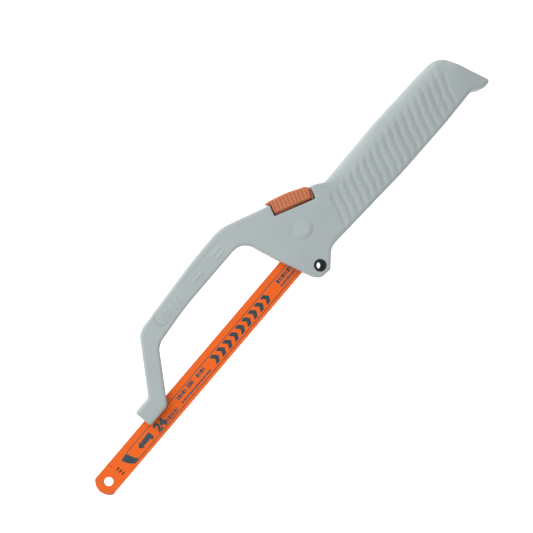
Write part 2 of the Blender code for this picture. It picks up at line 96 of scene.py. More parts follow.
shell_low, shell_high = box_mm("left_shell")
blade_low, blade_high = box_mm("blade")
LAYOUT = np.array([shell_low[0] - FOOT_X, (blade_low[1] + blade_high[1]) / 2, 0.0])
MID_Z = (blade_low[2] + blade_high[2]) / 2
HALF_BODY = shell_high[2] - MID_Z
BACK_Y = (blade_high[1] - blade_low[1]) / 2
BLADE_TIP = blade_low[0] - LAYOUT[0]
BLADE_REAR = blade_high[0] - LAYOUT[0]
HEEL_ROUND = 0.17
BOW_CROWN = 0.15
GRIP_END = shell_high[0] - LAYOUT[0] + HEEL_ROUND
BOW_TOP = shell_high[1] - LAYOUT[1] - BOW_CROWN
print("drawing point in the frame, mm:", LAYOUT.round(2), "shells meet at z =", round(MID_Z, 2))

# %% [markdown]
# ## Light, floor and camera
#
# The saw lies flat and is looked at from above, almost along the axis through its thickness: a few
# degrees from the left, so that the eye sees a little way down the hanging hole. A long lens from
# nearly a metre keeps the outline true. A pale floor, a bright even sky and one large soft lamp on the
# side of the saw's back give the plain studio look, and the standard view transform keeps paint colours
# as they are mixed.

# %% Camera above the saw
VIEW_CENTRE = np.array([74.4, 10.33])
VIEW_WIDTH = 285.2
CAMERA_AWAY = 900.0
CAMERA_LEAN = math.radians(4.5)
SENSOR = 36.0
BLADE_ANGLE = math.radians(49.48)


def to_frame(points):
    """Layout millimetres to the frame's metres."""
    return (np.asarray(points, float) + LAYOUT) * MM


camera_data = bpy.data.cameras.new("camera")
camera_data.sensor_width = SENSOR
camera_data.lens = SENSOR * CAMERA_AWAY / VIEW_WIDTH
camera = bpy.data.objects.new("camera", camera_data)
side = -CAMERA_AWAY * math.sin(CAMERA_LEAN)
camera.location = to_frame([VIEW_CENTRE[0] + side * math.cos(BLADE_ANGLE),
                            VIEW_CENTRE[1] - side * math.sin(BLADE_ANGLE),
                            MID_Z + CAMERA_AWAY * math.cos(CAMERA_LEAN)])
camera.rotation_euler = (0.0, -CAMERA_LEAN, -BLADE_ANGLE)
bpy.context.scene.collection.objects.link(camera)
bpy.context.scene.camera = camera
bpy.context.scene.view_settings.view_transform = "Standard"
print("lens", round(camera_data.lens, 1), "mm")

# %% Soft lamp and sky


def soft_lamp(name, place, size, power):
    """A square area lamp, size in metres and power in watts, that faces the middle of the picture."""
    data = bpy.data.lights.new(name, "AREA")
    data.size = size
    data.energy = power
    lamp = bpy.data.objects.new(name, data)
    lamp.location = to_frame(place)
    target = Vector(to_frame([*VIEW_CENTRE, MID_Z]))
    lamp.rotation_euler = (target - lamp.location).to_track_quat("-Z", "Y").to_euler()
    bpy.context.scene.collection.objects.link(lamp)


LAMP_PLACE = (-60.0, 390.0, 460.0)
LAMP_SIZE = 0.7
LAMP_POWER = 3.2
SKY_STRENGTH = 0.46
soft_lamp("key_lamp", LAMP_PLACE, LAMP_SIZE, LAMP_POWER)
world = bpy.data.worlds.new("studio")
bpy.context.scene.world = world
world.use_nodes = True
sky = world.node_tree.nodes["Background"]
sky.inputs["Color"].default_value = (1.0, 1.0, 1.0, 1.0)
sky.inputs["Strength"].default_value = SKY_STRENGTH

# %% [markdown]
# ## Shared effects for the materials
#
# Plastic, paint and steel are told apart by small things: the fine grain of a mould, the mottled tone of
# a big moulding, and the rub along its edges. Each is a node group with named sockets, built once, so
# every material can use it with its own values. The groups only put out masks and heights; each
# material keeps its own Principled shader. They all read object coordinates, which are metres here.

# %% Node group helpers


def new_group(title, inputs, outputs):
    """An empty shader group with float inputs (name, default) and float outputs (name)."""
    tree = bpy.data.node_groups.new(title, "ShaderNodeTree")
    for name, value in inputs:
        tree.interface.new_socket(name, in_out="INPUT", socket_type="NodeSocketFloat").default_value = value
    for name in outputs:
        tree.interface.new_socket(name, in_out="OUTPUT", socket_type="NodeSocketFloat")
    return tree, tree.nodes.new("NodeGroupInput"), tree.nodes.new("NodeGroupOutput")


def node(tree, kind, links=(), **values):
    """A node with properties set from values, and each input in links joined to a socket or set."""
    made = tree.nodes.new(kind)
    for name, value in values.items():
        setattr(made, name, value)
    for name, value in links:
        socket = made.inputs[name]
        if isinstance(value, bpy.types.NodeSocket):
            tree.links.new(value, socket)
        else:
            socket.default_value = value
    return made


def maths(tree, operation, *values):
    """The output of a Math node over sockets and numbers."""
    return node(tree, "ShaderNodeMath", list(enumerate(values)), operation=operation).outputs[0]


def coordinates(tree):
    return node(tree, "ShaderNodeTexCoord").outputs["Object"]


def noise(tree, size_mm, detail=3.0):
    """Noise from 0 to 1 whose blotches are about size_mm across; the size may be a socket."""
    per_metre = maths(tree, "DIVIDE", 1.0 / MM, size_mm)
    return node(tree, "ShaderNodeTexNoise", [("Vector", coordinates(tree)), ("Scale", per_metre),
                                             ("Detail", detail)]).outputs["Fac"]


def spread(tree, value, low, high):
    """Stretches a value so that low becomes 0 and high becomes 1, clipped."""
    made = node(tree, "ShaderNodeMapRange", [("Value", value), ("From Min", low), ("From Max", high)])
    return made.outputs["Result"]


# %% The three shared groups
grain, grain_in, grain_out = new_group("Moulded grain", [("Size mm", 0.5)], ["Height"])
pebbles = node(grain, "ShaderNodeTexVoronoi", [
    ("Vector", coordinates(grain)), ("Scale", maths(grain, "DIVIDE", 1.0 / MM, grain_in.outputs["Size mm"]))])
soft = noise(grain, grain_in.outputs["Size mm"])
grain.links.new(maths(grain, "ADD", pebbles.outputs["Distance"], soft), grain_out.inputs["Height"])

mottle, mottle_in, mottle_out = new_group("Mottled tone", [("Size mm", 18.0)], ["Mask"])
broad = noise(mottle, mottle_in.outputs["Size mm"], 4.0)
mottle.links.new(spread(mottle, broad, 0.3, 0.7), mottle_out.inputs["Mask"])

rub, rub_in, rub_out = new_group("Edge rub", [("Start", 0.52), ("Full", 0.6), ("Size mm", 3.0)], ["Mask"])
ridge = node(rub, "ShaderNodeMapRange", [
    ("Value", node(rub, "ShaderNodeNewGeometry").outputs["Pointiness"]),
    ("From Min", rub_in.outputs["Start"]), ("From Max", rub_in.outputs["Full"])]).outputs["Result"]
patches = spread(rub, noise(rub, rub_in.outputs["Size mm"]), 0.4, 0.65)
rub.links.new(maths(rub, "MULTIPLY", ridge, patches), rub_out.inputs["Mask"])
print("groups:", [tree.name for tree in (grain, mottle, rub)])

# %% [markdown]
# ## Materials
#
# Every finish is mixed the same way: two close tones, blended by the mottled mask, then a third tone on
# the rubbed edges, with roughness following the same masks and a fine bump from the grain. One function
# builds that chain, and one call for each finish gives its colours, roughness and grain.

# %% Build a finish


def use_group(tree, group, **values):
    made = tree.nodes.new("ShaderNodeGroup")
    made.node_tree = group
    for name, value in values.items():
        made.inputs[name.replace("_", " ")].default_value = value
    return made.outputs[0]


def blend_colours(tree, mask, first, second):
    """Colour first where the mask is 0 and second where it is 1; both may be colours or sockets."""
    made = node(tree, "ShaderNodeMix", data_type="RGBA")
    tree.links.new(mask, made.inputs["Factor"])
    for socket, colour in ((made.inputs[6], first), (made.inputs[7], second)):
        if isinstance(colour, bpy.types.NodeSocket):
            tree.links.new(colour, socket)
        else:
            socket.default_value = (*colour, 1.0)
    return made.outputs[2]


BUMP_STRENGTH = 0.6


def finish(name, tones, rough, metallic=0.0, grain_mm=0.5, bump_mm=0.02, mottle_mm=18.0, edge=0.7, gloss=0.5):
    """A Principled material: tones are (first, second, rubbed) colours, rough is (smooth, dull)."""
    made = bpy.data.materials.new(name)
    made.use_nodes = True
    tree = made.node_tree
    shader = tree.nodes["Principled BSDF"]
    tone = use_group(tree, mottle, Size_mm=mottle_mm)
    worn = maths(tree, "MULTIPLY", use_group(tree, rub), edge)
    height = use_group(tree, grain, Size_mm=grain_mm)
    body = blend_colours(tree, tone, tones[0], tones[1])
    tree.links.new(blend_colours(tree, worn, body, tones[2]), shader.inputs["Base Color"])
    dull = maths(tree, "MULTIPLY_ADD", tone, rough[1] - rough[0], rough[0])
    tree.links.new(dull, shader.inputs["Roughness"])
    bump = node(tree, "ShaderNodeBump", [
        ("Height", height), ("Distance", bump_mm * MM), ("Strength", BUMP_STRENGTH)])
    tree.links.new(bump.outputs["Normal"], shader.inputs["Normal"])
    shader.inputs["Metallic"].default_value = metallic
    shader.inputs["Specular IOR Level"].default_value = gloss
    return made


# %% The saw's finishes
shell_plastic = finish("shell_plastic", ((0.412, 0.468, 0.470), (0.447, 0.505, 0.506), (0.51, 0.56, 0.56)),
                       (0.5, 0.62), grain_mm=0.35, bump_mm=0.03, edge=0.5)
blade_enamel = finish("blade_enamel", ((0.98, 0.155, 0.014), (0.93, 0.142, 0.011), (0.58, 0.17, 0.07)),
                      (0.38, 0.5), grain_mm=0.8, bump_mm=0.004, mottle_mm=30.0, gloss=0.22)
button_plastic = finish("button_plastic", ((0.58, 0.178, 0.074), (0.54, 0.16, 0.065), (0.66, 0.27, 0.15)),
                        (0.45, 0.55), grain_mm=0.3, bump_mm=0.02, mottle_mm=8.0)
print_ink = finish("print_ink", ((0.024, 0.052, 0.066), (0.028, 0.060, 0.074), (0.06, 0.09, 0.10)),
                   (0.4, 0.5), grain_mm=0.4, bump_mm=0.003)
mark_ink = finish("mark_ink", ((0.05, 0.008, 0.004), (0.07, 0.012, 0.006), (0.1, 0.02, 0.01)),
                  (0.4, 0.5), grain_mm=0.4, bump_mm=0.003)
screw_steel = finish("screw_steel", ((0.50, 0.50, 0.48), (0.60, 0.58, 0.52), (0.75, 0.75, 0.75)),
                     (0.25, 0.4), metallic=1.0, grain_mm=0.5, bump_mm=0.006, mottle_mm=2.0)
zinc_steel = finish("zinc_steel", ((0.55, 0.56, 0.56), (0.66, 0.66, 0.63), (0.75, 0.75, 0.75)),
                    (0.28, 0.42), metallic=1.0, grain_mm=1.2, bump_mm=0.01, mottle_mm=4.0)
hard_steel = finish("hard_steel", ((0.36, 0.37, 0.38), (0.45, 0.45, 0.45), (0.6, 0.6, 0.6)),
                    (0.25, 0.38), metallic=1.0, grain_mm=0.8, bump_mm=0.006, mottle_mm=5.0)
black_nickel = finish("black_nickel", ((0.022, 0.028, 0.031), (0.034, 0.040, 0.043), (0.12, 0.13, 0.13)),
                      (0.65, 0.8), gloss=0.12, grain_mm=0.6, bump_mm=0.004, mottle_mm=2.0)
floor_paper = finish("floor_paper", ((0.97, 0.97, 0.97), (0.98, 0.98, 0.98), (0.98, 0.98, 0.98)),
                     (0.8, 0.9), grain_mm=1.5, bump_mm=0.02, mottle_mm=120.0)
FINISH_OF_SLOT = {
    "hard_steel": hard_steel, "zinc_steel": zinc_steel, "screw": screw_steel, "eyelet": black_nickel,
    "shell": shell_plastic, "button": button_plastic, "blade_paint": blade_enamel}
for part in frame["record"]["subparts"]:
    slots = frame["nodes"][part["node"]].data.materials
    slots.clear()
    slots.append(FINISH_OF_SLOT[part["material_slot"]])

# %% [markdown]
# ## Outlines with round corners
#
# A moulded shell is drawn as a chain of straight sides whose corners are rounded. Given the corners and
# their radii, each round is the arc that touches both sides. Moving every side inwards by the same
# amount, with the radii changed to match, gives rings that follow the edge point for point: just what
# is needed to roll the edge over smoothly.

# %% Rounded outlines
LEAST_RADIUS = 0.05
LEAST_ARC_RADIUS = 0.8


def rounded(corners, inset=0.0, arc_step=0.9, side_step=1.6):
    """Points of a closed anticlockwise outline with corners (x, y, radius), moved inwards by inset.

    At a corner that turns by angle t, a radius r takes r * tan(t / 2) off both sides, and its arc is
    r * (cos a, sin a) about a centre r away from both. Counts come from the outline without inset, so
    rings of different inset have matching points, arc_step and side_step millimetres apart.
    """
    corners = np.asarray(corners, float)
    spots = corners[:, :2]
    after = np.roll(spots, -1, 0) - spots
    after /= np.linalg.norm(after, axis=1)[:, None]
    before = np.roll(after, 1, 0)
    cross = before[:, 0] * after[:, 1] - before[:, 1] * after[:, 0]
    turn = np.arctan2(cross, (before * after).sum(1))
    inward = np.column_stack([-before[:, 1] - after[:, 1], before[:, 0] + after[:, 0]])
    inward /= (1 + np.cos(turn))[:, None]
    full = corners[:, 2]
    radius = np.maximum(full - np.sign(turn) * inset, LEAST_RADIUS)
    moved = spots + inward * inset
    cut = radius * np.abs(np.tan(turn / 2))
    first = moved - before * cut[:, None]
    last = moved + after * cut[:, None]
    centre = first + np.column_stack([-before[:, 1], before[:, 0]]) * (radius * np.sign(turn))[:, None]
    full_cut = full * np.abs(np.tan(turn / 2))
    straight = np.linalg.norm(np.roll(spots, -1, 0) - spots, axis=1) - full_cut - np.roll(full_cut, -1)
    pieces = []
    for index in range(len(corners)):
        steps = max(2, math.ceil(abs(turn[index]) * max(full[index], LEAST_ARC_RADIUS) / arc_step))
        share = np.linspace(0.0, 1.0, steps + 1)[:, None] * turn[index]
        arm = first[index] - centre[index]
        swung = [arm[0] * np.cos(share) - arm[1] * np.sin(share),
                 arm[0] * np.sin(share) + arm[1] * np.cos(share)]
        pieces.append(centre[index] + np.column_stack(swung))
        runs = math.ceil(straight[index] / side_step)
        if runs > 1:
            along = np.linspace(0.0, 1.0, runs + 1)[1:-1, None]
            pieces.append(last[index] * (1 - along) + first[(index + 1) % len(corners)] * along)
    return np.vstack(pieces)


def circle(centre, radius, count=48):
    turn = np.linspace(0.0, math.tau, count, endpoint=False)
    return np.array(centre) + radius * np.column_stack([np.cos(turn), np.sin(turn)])


# %% Where a point lies against an outline
CHUNK = 3000
TINY = 1e-9


def inside(points, loop):
    """Which points lie inside a closed loop: a ray towards +X crosses its sides an odd number of times."""
    ends = np.roll(loop, -1, 0)
    rise = np.where(ends[:, 1] == loop[:, 1], TINY, ends[:, 1] - loop[:, 1])
    found = []
    for part in np.array_split(points, max(1, len(points) // CHUNK)):
        y = part[:, 1, None]
        spans = (loop[:, 1] > y) != (ends[:, 1] > y)
        crossing = loop[:, 0] + (y - loop[:, 1]) * (ends[:, 0] - loop[:, 0]) / rise
        found.append((spans & (part[:, 0, None] < crossing)).sum(1) % 2 == 1)
    return np.concatenate(found)


def edge_distance(points, loop):
    """Distance from each point to the nearest side of a closed loop."""
    along = np.roll(loop, -1, 0) - loop
    length = np.maximum((along ** 2).sum(1), TINY ** 2)
    found = []
    for part in np.array_split(points, max(1, len(points) // CHUNK)):
        offset = part[:, None, :] - loop[None]
        share = np.clip((offset * along).sum(2) / length, 0.0, 1.0)
        gap = offset - share[..., None] * along
        found.append(np.sqrt((gap ** 2).sum(2).min(1)))
    return np.concatenate(found)


def ease(value, low, high):
    """Smooth step: 0 below low, 1 above high, 3t^2 - 2t^3 between."""
    share = np.clip((value - low) / (high - low), 0.0, 1.0)
    return share * share * (3.0 - 2.0 * share)


def rolled(inward, radius):
    """Drop of a quarter-round edge: r - sqrt(r^2 - (r - inward)^2) out to r from the edge, then none."""
    short = np.clip(radius - inward, 0.0, radius)
    return radius - np.sqrt(np.maximum(radius ** 2 - short ** 2, 0.0))


def swell(place, start, pitch):
    """A wave from 0 at start to 1 half a pitch further on: (1 - cos(tau u)) / 2."""
    return 0.5 - 0.5 * np.cos(math.tau * (place - start) / pitch)


# %% [markdown]
# ## Plates: one sheet of points, two heights
#
# Shells, blade, printing and lock parts are all flat things with a shaped face. So one helper serves
# them: it triangulates the area inside an outline once, then lays the same net of points at a lower and
# an upper height, each a function of place, and joins them by a wall along every loop. The solid is
# closed by construction, and a finer net costs one more array of points.

# %% The plate and the piece
WELD = 1e-5
SHARP = math.radians(32.0)


def plate(loops, extra, low, high, rings=()):
    """Closed solid between two heights over the area inside loops[0] and outside the other loops.

    Rings are closed loops of points that the net follows. low and high take an (n, 2) array of places
    and give n heights. Returns the points and the triangles.
    """
    groups = [*loops, *rings]
    starts = np.cumsum([0] + [len(group) for group in groups])
    sides = [np.column_stack([np.arange(a, b), np.roll(np.arange(a, b), -1)])
             for a, b in zip(starts, starts[1:])]
    spots = np.vstack([*groups, np.reshape(extra, (-1, 2))])
    net = delaunay_2d_cdt([Vector(spot) for spot in spots], np.vstack(sides).tolist(), [], 1, WELD)
    flat = np.array([tuple(spot) for spot in net[0]])
    triangles = np.array(net[2])
    middle = flat[triangles].mean(1)
    for hole in loops[1:]:
        keep = ~inside(middle, hole)
        triangles, middle = triangles[keep], middle[keep]
    made = {old: new for new, olds in enumerate(net[3]) for old in olds}
    a, b, c = (flat[triangles[:, k]] for k in range(3))
    area = (b - a)[:, 0] * (c - a)[:, 1] - (b - a)[:, 1] * (c - a)[:, 0]
    triangles[area < 0] = triangles[area < 0][:, ::-1]
    count = len(flat)
    points = np.vstack([np.column_stack([flat, low(flat)]), np.column_stack([flat, high(flat)])])
    faces = [triangles[:, ::-1], triangles + count]
    for hole, loop in enumerate(loops):
        index = np.array([made[i] for i in range(starts[hole], starts[hole + 1])])
        index = index[::-1] if hole else index
        follower = np.roll(index, -1)
        faces.append(np.column_stack([index, follower, follower + count]))
        faces.append(np.column_stack([index, follower + count, index + count]))
    return points, np.vstack(faces)


def volume_of(points, faces):
    """Signed volume: the sum over triangles from the first corner of a face of a . (b x c) / 6."""
    total = 0.0
    for count in set(map(len, faces)):
        corners = points[np.array([face for face in faces if len(face) == count])]
        for k in range(1, count - 1):
            total += (np.cross(corners[:, k], corners[:, k + 1]) * corners[:, 0]).sum() / 6.0
    return total


def add_piece(name, points, faces, material, quiet=False):
    """A mesh object in the frame's metres from layout millimetres, turned outwards and shaded smooth."""
    points = np.asarray(points, float)
    faces = np.asarray(faces).tolist() if isinstance(faces, np.ndarray) else faces
    if volume_of(points, faces) < 0:
        faces = [face[::-1] for face in faces]
    mesh = bpy.data.meshes.new(name)
    mesh.from_pydata(to_frame(points).tolist(), [], faces)
    mesh.materials.append(material)
    mesh.shade_smooth()
    mesh.set_sharp_from_angle(angle=SHARP)
    piece = bpy.data.objects.new(name, mesh)
    bpy.context.scene.collection.objects.link(piece)
    if not quiet:
        print(f"{name}: {len(points)} points, {len(faces)} faces")
    return piece


def height(value):
    """A constant height for a plate."""
    return lambda places: np.full(len(places), value)


# %% [markdown]
# ## The shells
#
# The frame of the saw is two mouldings screwed together: foot, bow arm, body and grip in one outline. Box
# modelling would need many loops to hold these long curves, so each shell is a plate instead. Its
# outline is drawn from corners and radii; its upper height rolls over at the edge, is thin on the arm
# and thick in the grip, and carries the wavy grip ribs, the framed field on the bow and the round boss
# over the lever's pin.

# %% The shells' outline
GRIP_START = 124.0
GRIP_LENGTH = GRIP_END - GRIP_START
ARM_DEEP = 13.1
BOW_UNDER = BOW_TOP - ARM_DEEP
FOOT_LOW = 2.7
FOOT_HIGH = 13.1
SLOPE_TOP = np.array([73.5, BOW_TOP + 0.2])
SLOPE_FOOT = np.array([GRIP_START, 19.7])
SLOPE = math.atan2(*(SLOPE_FOOT - SLOPE_TOP)[::-1])
BUTTON_SLOPE = SLOPE - math.radians(1.6)
BUTTON_CORNER = np.array([98.0, 25.7])
NOTCH_FRONT = -0.65
NOTCH_FLOOR = -1.15
NOTCH_REAR = 23.4


def on_button(along, above):
    """Layout place of points given along and above the button's underside."""
    along, above = np.asarray(along, float), np.asarray(above, float)
    x = BUTTON_CORNER[0] + along * math.cos(BUTTON_SLOPE) - above * math.sin(BUTTON_SLOPE)
    y = BUTTON_CORNER[1] + along * math.sin(BUTTON_SLOPE) + above * math.cos(BUTTON_SLOPE)
    return np.stack([x, y], axis=-1)


def on_slope(along):
    """Where the notch's wall at this place along the button meets the body's back slope."""
    low, high = on_button(along, 0.0), on_button(along, 1.0)
    direction = np.array([math.cos(SLOPE), math.sin(SLOPE)])
    gap = SLOPE_TOP - low
    reach = (gap[0] * direction[1] - gap[1] * direction[0]) / (
        (high - low)[0] * direction[1] - (high - low)[1] * direction[0])
    return low + (high - low) * reach


shell_corners = [
    (FOOT_X, FOOT_LOW, 1.5), (-16.2, FOOT_LOW, 3.5), (4.0, BOW_UNDER - 3.9, 5.0), (7.6, BOW_UNDER - 2.1, 5.0),
    (30.0, BOW_UNDER, 150.0), (76.6, BOW_UNDER, 9.5), (78.0, 20.0, 12.0), (81.0, 6.4, 60.0),
    (86.0, -11.0, 20.0), (87.6, -15.2, 4.5), (94.9, -16.1, 1.2), (104.3, -8.6, 8.0),
    (GRIP_START + 1.0, -9.8, 60.0), (GRIP_START + 0.35 * GRIP_LENGTH, -11.9, 200.0),
    (GRIP_START + 0.69 * GRIP_LENGTH, -12.4, 200.0), (GRIP_END - 10.4, -11.8, 5.0),
    (GRIP_END - 5.2, -15.9, 3.0), (GRIP_END + 0.5, -15.9, 1.6), (GRIP_END - 4.8, 4.3, 40.0),
    (GRIP_END - 7.1, 14.0, 10.0), (GRIP_START + 0.78 * GRIP_LENGTH, 15.0, 40.0),
    (GRIP_START + 0.44 * GRIP_LENGTH, 16.3, 300.0), (GRIP_START + 5.0, 15.9, 6.0), (*SLOPE_FOOT, 5.0),
    (*on_slope(NOTCH_REAR), 0.7), (*on_button(NOTCH_REAR, NOTCH_FLOOR), 0.6),
    (*on_button(NOTCH_FRONT, NOTCH_FLOOR), 0.6), (*on_slope(NOTCH_FRONT), 0.5),
    (*SLOPE_TOP, 26.0), (50.0, BOW_TOP, 300.0), (3.6, BOW_TOP - 3.2, 10.0),
    (FOOT_X + 10.4, FOOT_HIGH, 2.0), (FOOT_X, FOOT_HIGH, 0.8)]
shell_outline = rounded(shell_corners)
print("shell outline:", len(shell_outline), "points, x", shell_outline[:, 0].min().round(2), "to",
      shell_outline[:, 0].max().round(2), "and y to", shell_outline[:, 1].max().round(2))

# %% [markdown]
# ### The shell's face
#
# The face is a sum of simple height functions. The roll-over is a quarter circle of the distance to the
# edge, larger along the back of the grip where the palm rests, and on the left face a soft ramp leads
# down to it. The ribs are a wave across slanted, slightly wavering lines, faded out before the edges,
# like the pattern a mould maker cuts with a ball-nosed tool. The constants are sizes and zones in
# millimetres; each function eases its shape in and out between two of them.

# %% Thickness and rolled edge
HALF_ARM = 6.6
WIDENS = (50.0, 98.0)
BACK_ZONE = (2.0, 9.0)
EDGE_R = 1.5
BACK_EXTRA = 2.6
BELLY_EXTRA = 0.7
NOTCH_EDGE_R = 0.6
NOTCH_ZONE = (3.2, 7.5)
RAMP_FALL = 1.6
RAMP_ZONE = (0.5, 8.5)


def half_thickness(places):
    """Half the saw's thickness: thin along the arm, easing to full over the front of the body."""
    return HALF_ARM + (HALF_BODY - HALF_ARM) * ease(places[:, 0], *WIDENS)


def edge_round(places):
    """Radius of the rolled edge: generous along the grip's back, tight round the button's notch."""
    x, y = places.T
    back = ease(x, GRIP_START - 2.0, GRIP_START + 12.0) * ease(y, *BACK_ZONE)
    belly = ease(x, 100.0, 116.0) * (1.0 - ease(y, -4.0, 2.0))
    radius = EDGE_R + BACK_EXTRA * back + BELLY_EXTRA * belly
    ends = on_button([NOTCH_FRONT, NOTCH_REAR], NOTCH_FLOOR + 2.0)
    along = (places - ends[0]) @ (ends[1] - ends[0]) / ((ends[1] - ends[0]) ** 2).sum()
    nearest = ends[0] + np.clip(along, 0.0, 1.0)[:, None] * (ends[1] - ends[0])
    near = 1.0 - ease(np.linalg.norm(places - nearest, axis=1), *NOTCH_ZONE)
    return radius * (1.0 - near) + NOTCH_EDGE_R * near


def ramp(places, inward):
    """How far the face falls towards the grip's back, to meet the rolled edge."""
    x, y = places.T
    grip = ease(x, GRIP_START, GRIP_START + 14.0) * ease(y, *BACK_ZONE)
    return RAMP_FALL * grip * (1.0 - ease(inward, *RAMP_ZONE))


# %% Grip ribs
RIB_PITCH = 5.25
RIB_LEAN = math.tan(math.radians(64.0))
RIB_LEVEL = -10.0
RIB_DEPTH = 0.42
RIB_NARROW = 2.2
RIB_FIRST = 113.8
RIB_LAST = 212.5
RIB_EDGE_FADE = (0.6, 2.6)
RIB_TOP_FADE = (7.6, 11.4)


def ribs(places, inward):
    """Depth of the grip's grooves: a power of the wave over u, inward being the distance from the edge.

    u is the place along the saw where the slanted line through the point meets a low level, shifted by
    two small waves, so that the grooves waver like those of the real grip.
    """
    x, y = places.T
    waver = 0.3 * np.sin(y / 2.4 + x / 23.0) + 0.2 * np.sin(y / 0.95 + x / 7.0)
    foot = x - (y - RIB_LEVEL) / RIB_LEAN + waver
    last = RIB_LAST + RIB_LEVEL / RIB_LEAN
    span = ease(foot, RIB_FIRST, RIB_FIRST + 1.5) * (1.0 - ease(foot, last - 2.0, last))
    fade = ease(inward, *RIB_EDGE_FADE) * (1.0 - ease(y, *RIB_TOP_FADE))
    return RIB_DEPTH * swell(foot, RIB_FIRST, RIB_PITCH) ** RIB_NARROW * span * fade


# %% Framed field, boss and the whole face
FIELD = (13.8, 69.2, 30.9, 38.7)
FIELD_CORNER = 2.4
FIELD_LEVEL = 34.8
GROOVE_DEEP = 0.34
GROOVE_SHALLOW = 0.1
MARK_RISE = 0.22
ARROW_TIP = (49.0, 1.6)
BOSS = (102.0, 9.3)
BOSS_RISE = 0.7
BOSS_ZONE = (3.6, 5.8)


def pill(places, start, end, y, radius):
    """How far each place lies inside a level round-ended bar (negative outside)."""
    x = np.clip(places[:, 0], start, end)
    return radius - np.hypot(places[:, 0] - x, places[:, 1] - y)


def field_marks(places):
    """Groove round the framed field on the bow, deeper at its front end, with worn raised marks inside.

    The frame is a rectangle with round corners: the distance to it is that of the point, folded into one
    quarter, to the corner's centre.
    """
    left, right, low, high = FIELD
    centre = np.array([left + right, low + high]) / 2
    half = np.array([right - left, high - low]) / 2
    folded = np.abs(places - centre) - half + FIELD_CORNER
    outside = np.hypot(*np.maximum(folded, 0.0).T) + np.minimum(folded.max(1), 0.0)
    frame_line = np.abs(FIELD_CORNER - outside)
    deep = GROOVE_DEEP - (GROOVE_DEEP - GROOVE_SHALLOW) * ease(places[:, 0], left + 1.0, left + 6.0)
    groove = deep * (1.0 - ease(frame_line, 0.12, 0.55))
    start, wide = ARROW_TIP
    marks = [(42.0, 48.5, FIELD_LEVEL, 0.8), (59.5, 65.5, 36.2, 0.7), (59.5, 65.5, 33.6, 0.7),
             *((x, x, y, 1.0) for x in (17.5, 21.5, 25.5, 29.5) for y in (33.6, FIELD_LEVEL, 36.0)),
             (start + 0.5, start + 0.5, FIELD_LEVEL, wide - np.clip(places[:, 0] - start, 0.0, wide))]
    raised = np.zeros(len(places))
    for first, last, y, radius in marks:
        raised = np.maximum(raised, MARK_RISE * ease(pill(places, first, last, y, radius), 0.0, 0.5))
    return raised - groove


def boss(places):
    """A low round boss over the lever's pin, which rises out of the face towards the blade's side."""
    x, y = places.T
    rise = 0.3 + 0.7 * ease(BOSS[1] - y, -4.5, 4.0)
    return BOSS_RISE * rise * (1.0 - ease(np.hypot(x - BOSS[0], y - BOSS[1]), *BOSS_ZONE))


def face_height(places, left):
    """Height of a shell's face over the joint between the shells.

    Only the left face has the ramp and the boss: the right one stays full over its screw heads.
    """
    inward = edge_distance(places, shell_outline)
    face = half_thickness(places) - rolled(inward, edge_round(places)) - ribs(places, inward)
    extra = field_marks(places) * ease(inward, 0.6, 1.6)
    return face + (extra + boss(places) - ramp(places, inward) if left else np.minimum(extra, 0.0))


# %% [markdown]
# ### The net of points
#
# A rolled edge needs rings of points close to it, the ribs and the framed field a fine grid, and the
# plain rest of the face only a coarse one. Points that would crowd the rings are left out.

# %% Net for the shells
RING_INSETS = (0.04, 0.14, 0.31, 0.55, 0.88, 1.3, 1.9, 2.6)
PART_GAP = 0.15
FINE_AREAS = (
    ((RIB_FIRST - 2.0, RIB_LAST + 2.0, -13.0, 12.5), 0.75),
    ((FIELD[0] - 1.5, FIELD[1] + 1.5, FIELD[2] - 0.8, FIELD[3] + 0.8), 0.42),
    ((BOSS[0] - 6.5, BOSS[0] + 6.5, BOSS[1] - 6.5, BOSS[1] + 6.5), 0.8))
COARSE_STEP = 2.2
AREA_GAP = 0.6
RING_GAP = 0.3
LOWEST = -17.0


def grid(left, right, low, high, step):
    """Points of a triangular grid over a rectangle."""
    x, y = np.meshgrid(np.arange(left, right, step), np.arange(low, high, step * 0.87))
    x[1::2] += step / 2
    return np.column_stack([x.ravel(), y.ravel()])


def net_points(clear):
    """Grid points, dense over the fine areas, that keep a clearance from the outline."""
    rest = grid(FOOT_X, GRIP_END, LOWEST, BOW_TOP, COARSE_STEP)
    fine = []
    for (left, right, low, high), step in FINE_AREAS:
        x, y = rest.T
        beside = (x < left - AREA_GAP) | (x > right + AREA_GAP)
        rest = rest[beside | (y < low - AREA_GAP) | (y > high + AREA_GAP)]
        fine.append(grid(left, right, low, high, step))
    every = np.vstack([*fine, rest])
    every = every[inside(every, shell_outline)]
    return every[edge_distance(every, shell_outline) > clear]


rings = [rounded(shell_corners, inset) for inset in RING_INSETS]
net = net_points(RING_INSETS[-1] + RING_GAP)
print("net:", len(net), "grid points and", sum(map(len, rings)), "ring points")

# %% Make both shells


def make_shell(name, side):
    """A shell on its side of the joint: +1 is the left one, -1 the right."""
    points, faces = plate([shell_outline], net, height(MID_Z + side * PART_GAP),
                          lambda places: MID_Z + side * face_height(places, side > 0), rings)
    return add_piece(name, points, faces, shell_plastic)


left_cover = make_shell("left_cover", 1)
right_cover = make_shell("right_cover", -1)

# %% [markdown]
# ### Hollows between the shells
#
# The lock, the blade and its guides sit in pockets moulded into both shells. The pockets are cut with
# one Boolean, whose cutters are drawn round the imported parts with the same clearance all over. A cutter
# is a plate or a turned profile, so nothing new is needed to make it. Cutters that overlap differ a
# hair in width, so that no two of their faces lie in one plane.

# %% Turned profiles


def between_rows(index):
    """Four-cornered faces between the rows of a grid of point numbers whose rows are closed loops."""
    a, d = index[:-1], index[1:]
    return np.stack([a, np.roll(a, -1, 1), np.roll(d, -1, 1), d], axis=-1).reshape(-1, 4).tolist()


